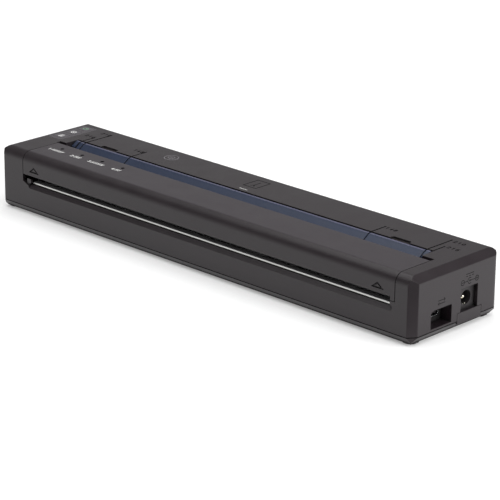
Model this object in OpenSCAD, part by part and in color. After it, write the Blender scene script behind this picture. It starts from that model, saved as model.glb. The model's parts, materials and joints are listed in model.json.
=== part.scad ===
// Portable page-wide thermal printer: case, release cover, feed train, head, power and boards.
// X runs along the length (right end +), Y runs from the front to the back, Z is up.
// The origin is the middle of the footprint on the table.

/* [Case] */
// Length of the case over its two ends
case_l = 255; // [253:1:290]
// Depth of the case, front to back
case_w = 55; // [54:0.5:60]
// Height from the table to the top of the case
case_h = 30; // [29.5:0.5:33]
// Thickness of the case walls
wall = 1.8; // [1.6:0.1:2]
// Height of the seam between the two case halves
seam_z = 3.7; // [3.5:0.1:3.9]
// Gap that shows as the seam line
seam_gap = 0.4; // [0.2:0.05:0.5]
// How far the underside draws in from the seam
bottom_inset = 2.4; // [1.5:0.1:3]
// Radius of the long front edge of the top
front_fillet = 4.5; // [3:0.5:5]
// Radius of the long rear edge of the top
rear_fillet = 2.75; // [1:0.25:3]
// Width of the end chamfers on the top
end_chamfer_w = 3.2; // [2:0.2:4]
// Height of the end chamfers on the end faces
end_chamfer_h = 3; // [2:0.2:4]
// Front corner chamfer along the front face
corner_x = 2.8; // [2:0.2:3.4]
// Front corner chamfer along the end face
corner_y = 3.7; // [2.5:0.2:4.5]
// Radius of the rear vertical corners
rear_corner_r = 2.5; // [1.5:0.25:3.5]
// Radius that softens the moulded edges
edge_r = 0.7; // [0.3:0.1:1]
// Height of the rubber feet below the case
foot_h = 0.5; // [0.4:0.1:0.8]
// Radius of a rubber foot
foot_r = 4.5; // [3:0.5:6]
// Distance of the feet from the ends and sides
foot_inset = 12; // [9:0.5:16]

/* [Release cover] */
// Left end of the case to the left edge of the cover
cover_left = 16.5; // [16.5:0.5:20]
// Right end of the case to the right edge of the cover
cover_right = 9.75; // [9.5:0.25:14]
// Front face to the rear edge of the cover
cover_depth = 21.75; // [21.5:0.25:22.5]
// Top of the case down to the front lip of the cover
cover_lip = 10.4; // [10.3:0.1:11]
// Gap round the cover
cover_gap = 0.35; // [0.2:0.05:0.5]
// Radius of the cover's hinge pins
cover_pin_r = 0.9; // [0.7:0.1:1.1]
// Thickness of the cover's hinge ears
ear_t = 1.6; // [1.2:0.1:1.6]
// Radius of the cover's hinge ears
ear_r = 2.5; // [2.2:0.1:2.6]
// Spacing of the ribs under the cover
rib_pitch = 21; // [14:1:40]
// Thickness of the ribs
rib_t = 1.2; // [0.8:0.1:1.6]

/* [Status lights] */
// Number of light pipes
light_count = 4; // [2:1:6]
// Spacing of the light pipes
light_pitch = 13.8; // [9:0.1:16]
// Radius of a light pipe
light_r = 0.9; // [0.6:0.1:1.3]
// Left edge of the cover to the first light
light_left = 8.9; // [8:0.1:14]
// Front face to the row of lights
light_y = 16.7; // [16:0.1:17.5]

/* [Paper path] */
// Width of the paper exit slot, left of the cover's left edge inwards
slot_left = 4.6; // [4.4:0.1:6]
// Right edge of the cover to the right end of the slot
slot_right = 2.4; // [0.9:0.1:3]
// Height of the slot and its scoop in the front face
slot_h = 6.3; // [5.6:0.1:6.4]
// How far the scoop runs past each end of the slot
scoop_over = 1.1; // [0.5:0.1:1.5]
// Width of the window left of the slot
window_w = 2.3; // [1.8:0.1:2.6]
// How far the step between the window and the slot stands back
step_back = 0.6; // [0.3:0.1:0.8]
// Side of a triangle mark
mark_side = 7; // [5:0.5:8]
// Width of the line of a triangle mark
mark_line = 0.7; // [0.4:0.1:0.9]
// Depth of the line of a triangle mark
mark_d = 0.5; // [0.2:0.1:0.7]
// Rear edge of the feed guide from the front face
guide_back = 31.4; // [31.2:0.1:32]
// Rear edge of the top opening from the front face
opening_back = 32.2; // [32.1:0.1:32.8]
// Thickness of the feed guide
guide_t = 1.3; // [1:0.1:1.4]
// Radius of the feed guide's pins
guide_pin_r = 0.7; // [0.5:0.1:0.8]
// Width of the lined-up paper marks
groove_w = 0.8; // [0.4:0.1:1]
// Depth of the paper marks
groove_d = 0.45; // [0.2:0.05:0.5]
// Length of the nail recesses behind the guide
nail_l = 10.5; // [6:0.5:14]
// Depth of the nail recesses
nail_d = 0.8; // [0.4:0.1:1]
// Half widths of the paper sizes that are marked
paper_half = [105, 107.95, 74];
// How far each mark runs back from the opening
mark_run = [16, 7.6, 9.3];
// Radius of the round part of the lower paper chute about the platen
chute_r = 6.2; // [6:0.1:6.4]
// Thickness of the chute
chute_t = 1.2; // [1:0.1:1.4]

/* [Platen] */
// Front face to the platen axis
platen_back = 12.5; // [12.3:0.1:12.7]
// Top of the case down to the platen axis
platen_down = 8.3; // [8.2:0.1:8.6]
// Radius of the rubber platen
platen_r = 4.8; // [4.5:0.1:4.9]
// Radius of the steel core of the platen
core_r = 2.4; // [1.9:0.1:3]
// Radius of the platen journals
journal_r = 1.5; // [1.2:0.1:1.7]
// Running clearance of shafts in their bores
run_fit = 0.05; // [0.03:0.01:0.08]
// Outer radius of the platen bearings
bearing_r = 3.4; // [3:0.1:3.8]

/* [Gears] */
// Gear module
gear_m = 0.5; // [0.48:0.01:0.5]
// Teeth of the platen gear
platen_teeth = 22; // [20:1:22]
// Teeth of the idler gear
idler_teeth = 20; // [19:1:21]
// Small wheel of the reduction gear
small_teeth = 14; // [13:1:16]
// Large wheel of the reduction gear
large_teeth = 36; // [32:1:36]
// Teeth of the motor pinion
pinion_teeth = 12; // [12:1:14]
// Width of the gear teeth
gear_t = 3; // [2:0.2:3]
// Play between the teeth
backlash = 0.1; // [0.08:0.01:0.14]
// Radius of the gear posts
post_r = 1; // [0.8:0.1:1.2]

/* [Motor] */
// Radius of the stepping motor
motor_r = 10; // [8:0.5:10]
// Length of the stepping motor
motor_l = 15; // [12:0.5:16]
// Platen axis to motor axis, along the depth
motor_dy = 23; // [22.5:0.1:23.5]
// Height of the motor axis
motor_z = 14; // [13.6:0.1:14.2]
// Radius of the motor shaft
motor_shaft_r = 1; // [0.8:0.1:1.1]

/* [Print head] */
// Gap between the head and the platen
head_gap = 0.25; // [0.2:0.05:0.4]
// Width of the head's heat sink
sink_w = 8.2; // [7.6:0.1:8.4]
// Thickness of the heat sink slab
sink_t = 2.5; // [2:0.1:2.8]
// Depth of the heat sink's fins
fin_d = 2; // [1:0.1:2.4]
// Thickness of the ceramic strip
strip_t = 0.65; // [0.5:0.05:0.8]
// Radius of the head's pivot shaft
head_pin_r = 1.5; // [1.2:0.1:1.6]
// Number of head springs
spring_count = 4; // [2:1:6]
// Radius of a spring's coil
spring_r = 1.8; // [1.5:0.1:2.1]
// Radius of the spring wire
spring_wire = 0.3; // [0.2:0.05:0.4]
// Turns of a spring
spring_turns = 5; // [4:1:6]

/* [Tear bar] */
// Thickness of the tear bar
tear_t = 0.8; // [0.5:0.05:0.9]
// Depth of the tear bar from its edge back
tear_w = 2.9; // [2.4:0.1:3.2]
// Bevel of the tear bar's edge
tear_bevel = 0.2; // [0.1:0.05:0.4]
// Height of the print line over the tear bar
tear_drop = 0.5; // [0.2:0.1:0.6]

/* [Frame and boards] */
// Thickness of the sheet steel of the chassis
sheet_t = 1; // [0.8:0.1:1.2]
// Height of the chassis floor
chassis_z = 6.4; // [6.3:0.1:6.8]
// Thickness of the circuit boards
board_t = 1.2; // [0.8:0.1:1.3]
// Height of the main board
board_z = 3.6; // [3.4:0.1:3.8]
// Height of the board that carries the sockets
io_z = 6.1; // [6:0.1:6.2]

/* [Power] */
// Radius of a battery cell
cell_r = 9; // [8:0.5:9]
// Length of a battery cell
cell_l = 65; // [50:1:65]
// Most cells that the pack may hold
cell_count = 3; // [2:1:3]
// Thickness of the sleeve round the cells
sleeve_t = 0.28; // [0.2:0.02:0.4]
// Radius of the socket of the power inlet
jack_r = 3.2; // [2.8:0.1:3.4]
// Radius of the pin in the power inlet
jack_pin_r = 1; // [0.6:0.1:1.2]
// Middle of the depth back to the axis of the power inlet
jack_y = 8.75; // [8.5:0.05:9]
// Height of the axis of the power inlet
jack_z = 12.3; // [12.2:0.05:12.5]
// Front case screw back to the middle of the data socket
usb_y = 12.9; // [12.5:0.1:13.3]
// How far the pin of the power inlet stands back from its face
jack_pin_back = 2.5; // [2.4:0.1:4]
// Radius of the battery door's pins
door_pin_r = 0.7; // [0.5:0.1:0.8]

/* [Buttons] */
// Number of keys
key_count = 3; // [2:1:3]
// Spacing of the keys
key_pitch = 7.8; // [7.6:0.1:8]
// Rear face to the last key
key_back = 8.4; // [8.2:0.1:8.8]
// Left end of the case to the keys
key_x = 8.7; // [8.5:0.1:9]
// Length of a key along the case
key_l = 6.4; // [5:0.1:6.8]
// Width of a key along the depth
key_w = 5.2; // [4:0.1:5.4]
// Thickness of the key panel
panel_t = 0.5; // [0.3:0.1:0.8]
// How far a key can be pressed
key_travel = 0.35; // [0.2:0.05:0.4]

/* [Hidden] */
$fn = 48;

fit = 0.02;                       // radial gap of a pressed pin
skin = 0.01;                      // overlap that lets a cut run clear of a face

xl = -case_l / 2;
xr = case_l / 2;
yf = -case_w / 2;
yb = case_w / 2;
zt = case_h;
z_in = zt - wall;

cover_x0 = xl + cover_left;
cover_x1 = xr - cover_right;
cover_yb = yf + cover_depth;
lip_z = zt - cover_lip;
hinge = [yf + 2.7, lip_z + 1.2];
rim_z = hinge[1] - norm(hinge - [yf, lip_z]) - 0.2;     // rim of the case, clear of the lip as it turns
corner_z = rim_z + 0.25;                                // lower end of the cover's right front corner
corner_sweep = norm(hinge - [yf, corner_z]) + 0.2;
ear_x = [cover_x0 + 0.2, cover_x1 - 0.25 - ear_t];
hinge_boss_t = 2.35;

slot_x0 = cover_x0 + slot_left;
slot_x1 = cover_x1 - slot_right;
slot_z0 = lip_z - slot_h;

platen = [yf + platen_back, zt - platen_down];
plate_l = cover_x0 + 2.4;
plate_r = cover_x1 - 4.75;
inner_l = plate_l + sheet_t;
bearing_flange = 0.6;
rubber_x0 = inner_l + 2.1;
rubber_x1 = plate_r - 1.5;
paper_x = (rubber_x0 + rubber_x1) / 2;

gear_ax = plate_l - 1.2 - gear_t;
gear_bx = gear_ax - 0.4 - gear_t;
axis_slack = 0.06;
motor = [platen[0] + motor_dy, motor_z];
motor_x0 = inner_l + 0.1;
motor_x1 = motor_x0 + motor_l;
reduction_a = pitch_r(pinion_teeth) + pitch_r(large_teeth) + axis_slack;
reduction = [motor[0] - reduction_a * cos(2.4), motor[1] - reduction_a * sin(2.4)];
idler_a = pitch_r(small_teeth) + pitch_r(idler_teeth) + axis_slack;
idler_b = pitch_r(idler_teeth) + pitch_r(platen_teeth) + axis_slack;
idler = meet(reduction, platen, idler_a, idler_b);

head_top = platen[1] - platen_r - head_gap;
ridge_h = 0.3;
sink_top = head_top - ridge_h - strip_t;
sink_z = sink_top - sink_t;
sink_y1 = platen[0] + 3.2;
sink_y0 = sink_y1 - sink_w;
head_pin = [platen[0] + 6.4, platen[1] - 10.3];
chassis_top = chassis_z + sheet_t;
chassis_y0 = yf + 6.5;
chassis_y1 = yf + 20.5;

tear_top = head_top - tear_drop;
shelf_z = tear_top - tear_t;
tear_y0 = yf + 2.1;
tear_y1 = tear_y0 + tear_w;

guide_x0 = cover_x0 + 3.4;
guide_x1 = cover_x1 - 6.65;
guide_pivot = [yf + 25.3, zt - 5.4];
guide_barrel = guide_pin_r + 0.75;

cell_c = [yb - wall - 0.4 - sleeve_t - cell_r, 13.5];
cells_x1 = xr - 20.5;
cells_room = cells_x1 - motor_x1 - 4.4;
cells = min(cell_count, floor(cells_room / cell_l));
cells_x0 = cells_x1 - cell_l * cells;
door_x0 = cells_x0 - 1.5;
door_x1 = cells_x1 + 1.5;
door_top = 23.7;
door_axis = [yb - 1.3, seam_z + 1.6];
door_barrel = 1.25;

floor_z = foot_h + wall;
boss_x = xr - 5.1;
boss_y = yb - 5.5;
boss_r = 3.5;
screw_r = 1.2;
screw_head_r = 2.3;
boss_z = seam_z + 1.3;

// parts too tall to go under the chassis stand in one row between it and the cells
tall_y = (chassis_y1 + cell_c[0] - cell_r - sleeve_t) / 2;
board_x0 = motor_x1 + 4.5;
board_x1 = xr - 27.5;
board_y0 = yf + 6;
board_y1 = tall_y + 3.63;
board_top = board_z + board_t;
io_top = io_z + board_t;

key_cx = xl + key_x;
key_ys = [for (i = [0:key_count - 1]) yb - key_back - key_pitch * (key_count - 1 - i)];
key_board_z = zt - 5.6;

usb_c = [usb_y - boss_y, io_top + 1.65];
jack_c = [jack_y, jack_z];
jack_face = xr - wall - 0.1;
recess_y = [usb_c[0] - 6.6, usb_c[0] + 6.6];
recess_z = [5, 12.9];
tab_y = [jack_y - 7.35, jack_y + 8.15];
tab_z = 7.35;
bezel_x = xr - 6.9;

mark_xs = [for (h = paper_half, s = [-1, 1]) paper_x + s * h];
nail_xs = [paper_x - 95.5, paper_x + 84.3];
light_xs = [for (i = [0:light_count - 1]) cover_x0 + light_left + light_pitch * i];
lights_y = yf + light_y;
// upper line of the feed guide seen from the end: a ramp that falls from its rear edge
guide_ramp = [for (p = [[0, -0.3], [-1.1, -0.35], [-1.8, -0.9], [-4.3, -2.6]]) p + [yf + guide_back, zt]];
guide_gap = 0.35;
sensor_c = [paper_x + 6, platen[0] + 8.4];
exit_y = yf + wall + 3.6;         // how far back the paper exit runs

turn_p = 0;
turn_i = mesh_turn(platen_teeth, turn_p, direction(platen, idler), idler_teeth);
turn_s = mesh_turn(idler_teeth, turn_i, direction(idler, reduction), small_teeth);
turn_l = 0;
turn_m = mesh_turn(large_teeth, turn_l, direction(reduction, motor), pinion_teeth);
motor_screw_c = 7;                // motor axis to the axis of a screw
motor_lug_r = 3;

head_ear_x = [rubber_x0 + 1.5, rubber_x1 - 5];
head_ear_t = 3;
fin_t = 0.9;
sink_x0 = rubber_x0 + 0.5;
sink_x1 = rubber_x1 - 0.5;
spring_y = (sink_y0 + sink_y1) / 2;
spring_z0 = chassis_top + spring_wire + 0.05;
spring_z1 = sink_z - spring_wire - 0.05;
spring_margin = 17;
spring_xs = [for (i = [0:spring_count - 1])
    sink_x0 + spring_margin + i * (sink_x1 - sink_x0 - 2 * spring_margin) / (spring_count - 1)];
cable_w = 40;

chassis_posts = [plate_l + 11, plate_r - 6];
chassis_post_y = chassis_y0 + 7;
board_posts_x = [board_x0 + 4, board_x1 - 4];
board_posts_y = [board_y0 + 3, board_y1 - 3.5];
io_posts_y = [recess_y[0] - 1.3, recess_y[1] + 2.2];
io_post_x = xr - 9.7;
capacitor_xs = [88, 96, 104];     // from the left edge of the main board
connector_xs = [50, 70];
door_gap = 0.3;
pin_boss_t = 2.6;                 // bosses of the pins of the guide and the door
boss_h = 18.4;                    // case screw bosses above the joint
jack_half = 5.2;                  // half of the width of the power inlet's body
key_screw_ys = [key_ys[0] - 4.4, key_ys[key_count - 1] + 4.4];

case_grey = "#4a474b";
dark_grey = "#333136";
guide_blue = "#33446e";

// ---------- plain geometry ----------
function unit(v) = v / norm(v);
function polar(c, r, a) = c + r * [cos(a), sin(a)];
function arc(c, r, a0, a1, n) = [for (i = [0:n]) polar(c, r, a0 + (a1 - a0) * i / n)];

// The point at distance ra from a and rb from b, below the line that joins them
function meet(a, b, ra, rb) =
    let (d = norm(b - a), k = (ra * ra - rb * rb + d * d) / (2 * d), h = sqrt(ra * ra - k * k), u = (b - a) / d)
    a + k * u + h * [-u[1], u[0]];

// Round the corner b of the path a, b, c with radius r
function round_corner(a, b, c, r, n) =
    let (u = unit(a - b), v = unit(c - b), h = acos(u * v) / 2,
        d = min(r / tan(h), norm(a - b) * 0.49, norm(c - b) * 0.49), q = d * tan(h),
        m = b + unit(u + v) * q / sin(h), s = b + u * d - m, e = b + v * d - m)
    [for (i = [0:n]) m + q * unit(s * (n - i) + e * i)];

// Round every corner of a closed path with its own radius
function round_path(p, r, n = 3) =
    [for (i = [0:len(p) - 1]) each r[i] > 0
        ? round_corner(p[(i + len(p) - 1) % len(p)], p[i], p[(i + 1) % len(p)], r[i], n) : [p[i]]];

function rect_path(x0, x1, y0, y1) = [[x0, y0], [x1, y0], [x1, y1], [x0, y1]];

// Extrude a profile of depth and height along the length
module along_x(x0, x1) {
    translate([x0, 0, 0]) rotate([90, 0, 90]) linear_extrude(x1 - x0) children();
}

// Extrude a profile of length and height along the depth
module along_y(y0, y1) {
    translate([0, y1, 0]) rotate([90, 0, 0]) linear_extrude(y1 - y0) children();
}

module box(x0, x1, y0, y1, z0, z1) {
    translate([x0, y0, z0]) cube([x1 - x0, y1 - y0, z1 - z0]);
}

// Round bar along the length, through a point of depth and height
module bar(c, r, x0, x1) {
    translate([x0, c[0], c[1]]) rotate([0, 90, 0]) cylinder(r = r, h = x1 - x0);
}

module post(x, y, r, z0, z1) {
    translate([x, y, z0]) cylinder(r = r, h = z1 - z0);
}

module rounded_plate(x0, x1, y0, y1, z0, z1, r) {
    translate([0, 0, z0]) linear_extrude(z1 - z0) polygon(round_path(rect_path(x0, x1, y0, y1), [r, r, r, r], 5));
}

// ---------- case forms ----------
// Where the end chamfer, moved inwards by t, meets the top and the end face
function chamfer_in(t) =
    let (l = norm([end_chamfer_w, end_chamfer_h]))
    [end_chamfer_w - t * (end_chamfer_w - l) / end_chamfer_h,
        end_chamfer_h - t * (end_chamfer_h - l) / end_chamfer_w];

module side_profile(t, z0) {
    soft = [0, max(front_fillet - t, 0.5), max(rear_fillet - t, 0.3), 0];
    polygon(round_path([[yf + t, z0], [yf + t, zt - t], [yb - t, zt - t], [yb - t, z0]], soft, 14));
}

module end_profile(t, z0) {
    c = chamfer_in(t);
    s = t > 0 ? 0 : edge_r;
    polygon(round_path([[xl + t, z0], [xr - t, z0], [xr - t, zt - c[1]], [xr - c[0], zt - t], [xl + c[0], zt - t],
        [xl + t, zt - c[1]]], [0, 0, s, s, s, s]));
}

module plan_profile(t) {
    s = t > 0 ? 0 : edge_r;
    r = max(rear_corner_r - t, 0.4);
    polygon(round_path([[xl + t, yf + corner_y], [xl + corner_x, yf + t], [xr - corner_x, yf + t],
        [xr - t, yf + corner_y], [xr - t, yb - t], [xl + t, yb - t]], [s, s, s, s, r, r], 4));
}

// The outside of the case, moved inwards by t
module case_block(t, z0) {
    intersection() {
        along_x(xl, xr) side_profile(t, z0);
        along_y(yf, yb) end_profile(t, z0);
        translate([0, 0, z0]) linear_extrude(zt) plan_profile(t);
    }
}

// The tray under the seam, whose sides draw in towards the table
module tray_block() {
    b = bottom_inset;
    intersection() {
        along_x(xl, xr) polygon(round_path([[yf + b, foot_h], [yb - b, foot_h], [yb, seam_z], [yf, seam_z]],
            [edge_r, edge_r, 0, 0]));
        along_y(yf, yb) polygon(round_path([[xl + b, foot_h], [xr - b, foot_h], [xr, seam_z], [xl, seam_z]],
            [edge_r, edge_r, 0, 0]));
        linear_extrude(seam_z) plan_profile(0);
    }
}

module screw_places() {
    for (sx = [-1, 1], sy = [-1, 1]) translate([sx * boss_x, sy * boss_y, 0]) children();
}

// Front scoop under the paper exit, with the shelf that carries the tear bar
module scoop_profile() {
    y1 = tear_y1 + 0.2;
    polygon([[yf, slot_z0 - 2], [yf, slot_z0], [tear_y0 - 0.05, shelf_z], [y1, shelf_z], [y1, shelf_z - 1.4],
        [yf + wall + 0.4, shelf_z - 1.4], [yf + wall, slot_z0 - 2]]);
}

// Outline in the front face of the slot and of the scoop below it, which runs past the slot's ends
module slot_outline() {
    x0 = slot_x0 - scoop_over;
    x1 = slot_x1 + scoop_over;
    z = shelf_z + 0.4;
    polygon(round_path([[x0, slot_z0], [x1, slot_z0], [x1, z], [slot_x1, z], [slot_x1, lip_z], [slot_x0, lip_z],
        [slot_x0, z], [x0, z]], [1.2, 1.2, 0.3, 0, 0, 0, 0, 0.3], 4));
}

// Outline in the front face of what lies left of the slot as far as x, with a slanting lower edge
module step_outline(x) {
    side = cover_x0 - cover_gap;
    z = lip_z - 3.4;
    polygon([[side, z], [x, z - 0.45 * (x - side)], [x, lip_z], [side, lip_z]]);
}

module paper_marks() {
    back = yf + opening_back;
    for (i = [0:len(mark_xs) - 1]) box(mark_xs[i] - groove_w / 2, mark_xs[i] + groove_w / 2, back - 1,
        back + mark_run[floor(i / 2)], zt - groove_d, zt + 1);
}

module upper_case() {
    void_y = cover_yb + 2.6;
    side = cover_x0 - cover_gap;
    side_r = cover_x1 + cover_gap;
    color(case_grey) difference() {
        union() {
            difference() {
                case_block(0, seam_z + seam_gap);
                case_block(wall, seam_z);
            }
            // screw bosses joined to the end walls
            intersection() {
                case_block(wall / 2, seam_z + seam_gap);
                screw_places() translate([0, 0, boss_z]) cylinder(r = boss_r, h = boss_h);
            }
            // bosses of the cover's hinge pins
            for (x = [side - hinge_boss_t, side_r])
                box(x, x + hinge_boss_t, yf + wall - 0.2, hinge[0] + ear_r, hinge[1] - ear_r, z_in + 0.2);
            // bosses of the feed guide's pins
            for (x = [guide_x0 - guide_gap - pin_boss_t, guide_x1 + guide_gap])
                box(x, x + pin_boss_t, guide_pivot[0] - 1.6, guide_pivot[0] + 3, guide_pivot[1] - 1.4, z_in + 0.2);
            // bosses of the battery door's pins
            for (x = [door_x0 - door_gap - pin_boss_t, door_x1 + door_gap])
                box(x, x + pin_boss_t, door_axis[0] - 2, yb - 0.2, seam_z + seam_gap, door_axis[1] + 1.9);
            // posts of the key board
            for (y = key_screw_ys)
                post(key_cx, y, 1.2, key_board_z + board_t, z_in + 0.2);
            // frame round the data socket
            socket_frame(bezel_x + sheet_t, xr - wall / 2);
        }
        // opening of the cover, the trough and the guide
        box(side, side_r, yf - 1, cover_yb + skin, rim_z, zt + 1);
        bar(hinge, corner_sweep, slot_x1 - skin, side_r);
        box(side - 0.7, side_r, cover_yb - skin, void_y, guide_pivot[1] + 1.6, zt + 1);
        box(guide_x0 - guide_gap + skin, guide_x1 + guide_gap - skin, cover_yb - skin, yf + opening_back,
            lip_z, zt + 1);
        // paper exit in the front face
        along_y(yf - 1, exit_y) step_outline(side + window_w);
        along_y(yf - 1, yf + step_back) step_outline(slot_x0 + skin);
        difference() {
            along_y(yf - 1, exit_y) slot_outline();
            along_x(slot_x0 - 2, slot_x1 + 2) scoop_profile();
        }
        // nail recesses behind the guide
        for (x = nail_xs)
            rounded_plate(x, x + nail_l, yf + opening_back - 3, yf + opening_back + 2, zt - nail_d, zt + 1, 1);
        paper_marks();
        // seat of the key panel and the key holes
        panel_plate(0.1, zt + 1);
        for (y = key_ys) key_plate(y, 0.2, z_in - 1, zt, 0);
        for (y = key_screw_ys) post(key_cx, y, 0.62, key_board_z, zt - 1.4);
        // sockets in the right end
        along_x(bezel_x + sheet_t - skin, xr + 1) polygon(round_path(
            rect_path(recess_y[0], recess_y[1], recess_z[0], recess_z[1]), [0, 0, 0.6, 1.6], 4));
        box(xr - wall - skin, xr + 1, jack_c[0] - jack_half - 0.25, jack_c[0] + jack_half + 0.25, tab_z - 1,
            jack_c[1] + jack_half + 0.2);
        box(xr - wall - skin, xr + 1, tab_y[0] - 0.2, tab_y[1] + 0.2, seam_z, tab_z + 0.2);
        // battery door
        box(door_x0 - door_gap, door_x1 + door_gap, yb - wall - 1, yb + 1, seam_z, door_top + door_gap);
        // pin and screw bores
        bar(hinge, cover_pin_r + fit, side - hinge_boss_t - skin, side + skin);
        bar(hinge, cover_pin_r + fit, side_r - skin, side_r + hinge_boss_t + skin);
        bar(guide_pivot, guide_pin_r + fit, guide_x0 - guide_gap - pin_boss_t - skin, guide_x0);
        bar(guide_pivot, guide_pin_r + fit, guide_x1, guide_x1 + guide_gap + pin_boss_t + skin);
        bar(door_axis, door_pin_r + fit, door_x0 - door_gap - pin_boss_t - skin, door_x0);
        bar(door_axis, door_pin_r + fit, door_x1, door_x1 + door_gap + pin_boss_t + skin);
        screw_places() translate([0, 0, boss_z - 1]) cylinder(r = screw_r + fit, h = 9);
    }
}

module lower_case() {
    color(case_grey) difference() {
        union() {
            difference() {
                tray_block();
                translate([0, 0, floor_z]) linear_extrude(seam_z) plan_profile(wall + 1);
            }
            // tongue inside the seam
            difference() {
                translate([0, 0, floor_z]) linear_extrude(seam_z + 1 - floor_z) plan_profile(wall + 0.1);
                translate([0, 0, floor_z - 1]) linear_extrude(seam_z + 4) plan_profile(wall + 1.1);
                box(door_x0 - 3.2, door_x1 + 3.2, yb - 6, yb, seam_z - 0.1, seam_z + 3);
                box(xr - 6, xr, recess_y[0] - 1.3, tab_y[1] + 0.5, seam_z - 0.1, seam_z + 3);
            }
            intersection() {
                screw_places() translate([0, 0, foot_h]) cylinder(r = boss_r, h = boss_z - foot_h);
                translate([0, 0, foot_h]) linear_extrude(boss_z) plan_profile(wall + 0.1);
            }
            // tab under the power inlet
            box(xr - wall, xr, tab_y[0], tab_y[1], seam_z - 1, tab_z);
            // posts of the chassis, the main board and the socket board
            for (x = chassis_posts) post(x, chassis_post_y, 2.6, foot_h + 0.5, chassis_z);
            for (x = board_posts_x, y = board_posts_y) post(x, y, 2, foot_h + 0.5, board_z);
            for (y = io_posts_y) post(io_post_x, y, 2, foot_h + 0.5, io_z);
            // saddles of the battery pack
            for (i = [0:cells - 1]) {
                x = cells_x0 + cell_l * (i + 0.5);
                along_x(x - 1, x + 1) difference() {
                    polygon(rect_path(cell_c[0] - 6.5, cell_c[0] + 6.5, floor_z - 0.5, cell_c[1] - cell_r + 2));
                    translate(cell_c) circle(r = cell_r + sleeve_t + 0.2);
                }
            }
        }
        screw_places() {
            translate([0, 0, foot_h - 1]) cylinder(r = screw_head_r + 0.2, h = 1 + 2.2);
            translate([0, 0, foot_h]) cylinder(r = screw_r + 0.15, h = seam_z + 3);
        }
        feet_places() translate([0, 0, foot_h - 1]) cylinder(r = foot_r + 0.05, h = 1.5);
        for (x = chassis_posts) post(x, chassis_post_y, 0.92, floor_z, chassis_z + 1);
        for (x = board_posts_x, y = board_posts_y) post(x, y, 0.72, floor_z - 0.8, board_z + 1);
        for (y = io_posts_y) post(io_post_x, y, 0.72, floor_z, io_z + 1);
    }
}

module feet_places() {
    for (sx = [-1, 1], sy = [-1, 1])
        translate([sx * (xr - foot_inset - 6), sy * (yb - foot_inset), 0]) children();
}

module feet() {
    color("#1d1c1e") feet_places() rotate_extrude() polygon(
        [[0, 0], [foot_r - 0.3, 0], [foot_r, 0.3], [foot_r, foot_h + 0.5], [0, foot_h + 0.5]]);
}

// Pan-head screw that stands on its tip: head radius, shank radius, head and shank heights
module screw(hr, hh, sr, sl) {
    difference() {
        union() {
            translate([0, 0, -hh]) cylinder(r = hr, h = hh);
            cylinder(r = sr, h = sl);
        }
        for (a = [0, 90]) rotate(a) translate([-hr * 0.6, -hr * 0.13, -hh - 1])
            cube([hr * 1.2, hr * 0.26, 1 + hh * 0.45]);
    }
}

module case_screws() {
    color("#3a3a3c") screw_places() translate([0, 0, foot_h + 2.2]) screw(screw_head_r, 1.4, screw_r, 10);
}

// ---------- keys ----------
// Plate in the seat of the key panel up to z1, grown by t
module panel_plate(t, z1) {
    rounded_plate(key_cx - 4.3 - t, key_cx + 5.1 + t, key_ys[0] - 5.2 - t, key_ys[key_count - 1] + 3.3 + t,
        zt - panel_t, z1, 1.7 + t);
}

// Plate of the outline of a key at y, grown by t
module key_plate(y, t, z0, z1, r) {
    rounded_plate(key_cx - key_l / 2 - t, key_cx + key_l / 2 + t, y - key_w / 2 - t, y + key_w / 2 + t, z0, z1, r);
}

module button_panel() {
    color("#5b585c") difference() {
        panel_plate(0, zt);
        for (y = key_ys) key_plate(y, 0.15, zt - panel_t - 1, zt + 1, 1.15);
    }
}

module key(i) {
    y = key_ys[i];
    color("#6a676b") {
        key_plate(y, 0, z_in - 0.3, zt, 1);
        key_plate(y, 0.4, z_in - 0.9, z_in - 0.2, 1);
        post(key_cx, y, 1.2, z_in - 1.35, z_in - 0.8);
    }
}

module front_key() { key(0); }
module middle_key() { key(min(1, key_count - 1)); }
module power_key() { key(key_count - 1); }

module key_board() {
    color("#1f5c3a") difference() {
        box(key_cx - 4.7, key_cx + 4.7, key_ys[0] - 5.9, key_ys[key_count - 1] + 5.7, key_board_z,
            key_board_z + board_t);
        for (y = key_screw_ys) post(key_cx, y, 0.75, key_board_z - 1, key_board_z + 3);
    }
}

module key_switches() {
    color("#b9b9bd") for (y = key_ys) {
        box(key_cx - 2.6, key_cx + 2.6, y - 2.6, y + 2.6, key_board_z + board_t, z_in - 2.1);
        post(key_cx, y, 1.4, z_in - 2.2, z_in - 1.8);
    }
}

module key_board_screws() {
    color("#8f8f93") for (y = key_screw_ys)
        translate([key_cx, y, key_board_z]) screw(1.1, 0.6, 0.6, 3.6);
}

// ---------- release cover ----------
module cover_ear(x) {
    along_x(x, x + ear_t) difference() {
        polygon(concat(arc(hinge, ear_r, 180, 360, 12), [[hinge[0] + ear_r, z_in + 0.2],
            [yf + front_fillet, z_in + 0.2], [hinge[0] - ear_r, z_in - 2.2]]));
        circle_at(hinge, cover_pin_r + run_fit);
    }
}

module circle_at(c, r) {
    translate(c) circle(r = r);
}

// Rib under the cover that leaves room for the platen
module cover_rib(x, yr) {
    along_x(x - rib_t / 2, x + rib_t / 2) difference() {
        polygon([[yf + wall - 0.3, lip_z + 4], [yf + wall + 1.2, lip_z + 4], [yf + wall + 4.4, z_in - 1.6],
            [yf + wall + 5.3, z_in - 0.6], [yr, z_in - 0.6], [yr, z_in + 0.3], [yf + wall + 2, z_in + 0.3],
            [yf + wall - 0.3, z_in - 2]]);
        circle_at(platen, platen_r + 0.9);
    }
}

// Triangle, drawn in by t, that stands on its base under the point x
module triangle(x, t) {
    h = mark_side * 0.4;
    low = norm([mark_side / 2, h]);
    k = 1 - t * (mark_side + 2 * low) / (mark_side * h);
    z = lip_z + 1.7 + t;
    polygon([[x - k * mark_side / 2, z], [x + k * mark_side / 2, z], [x, z + k * h]]);
}

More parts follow.
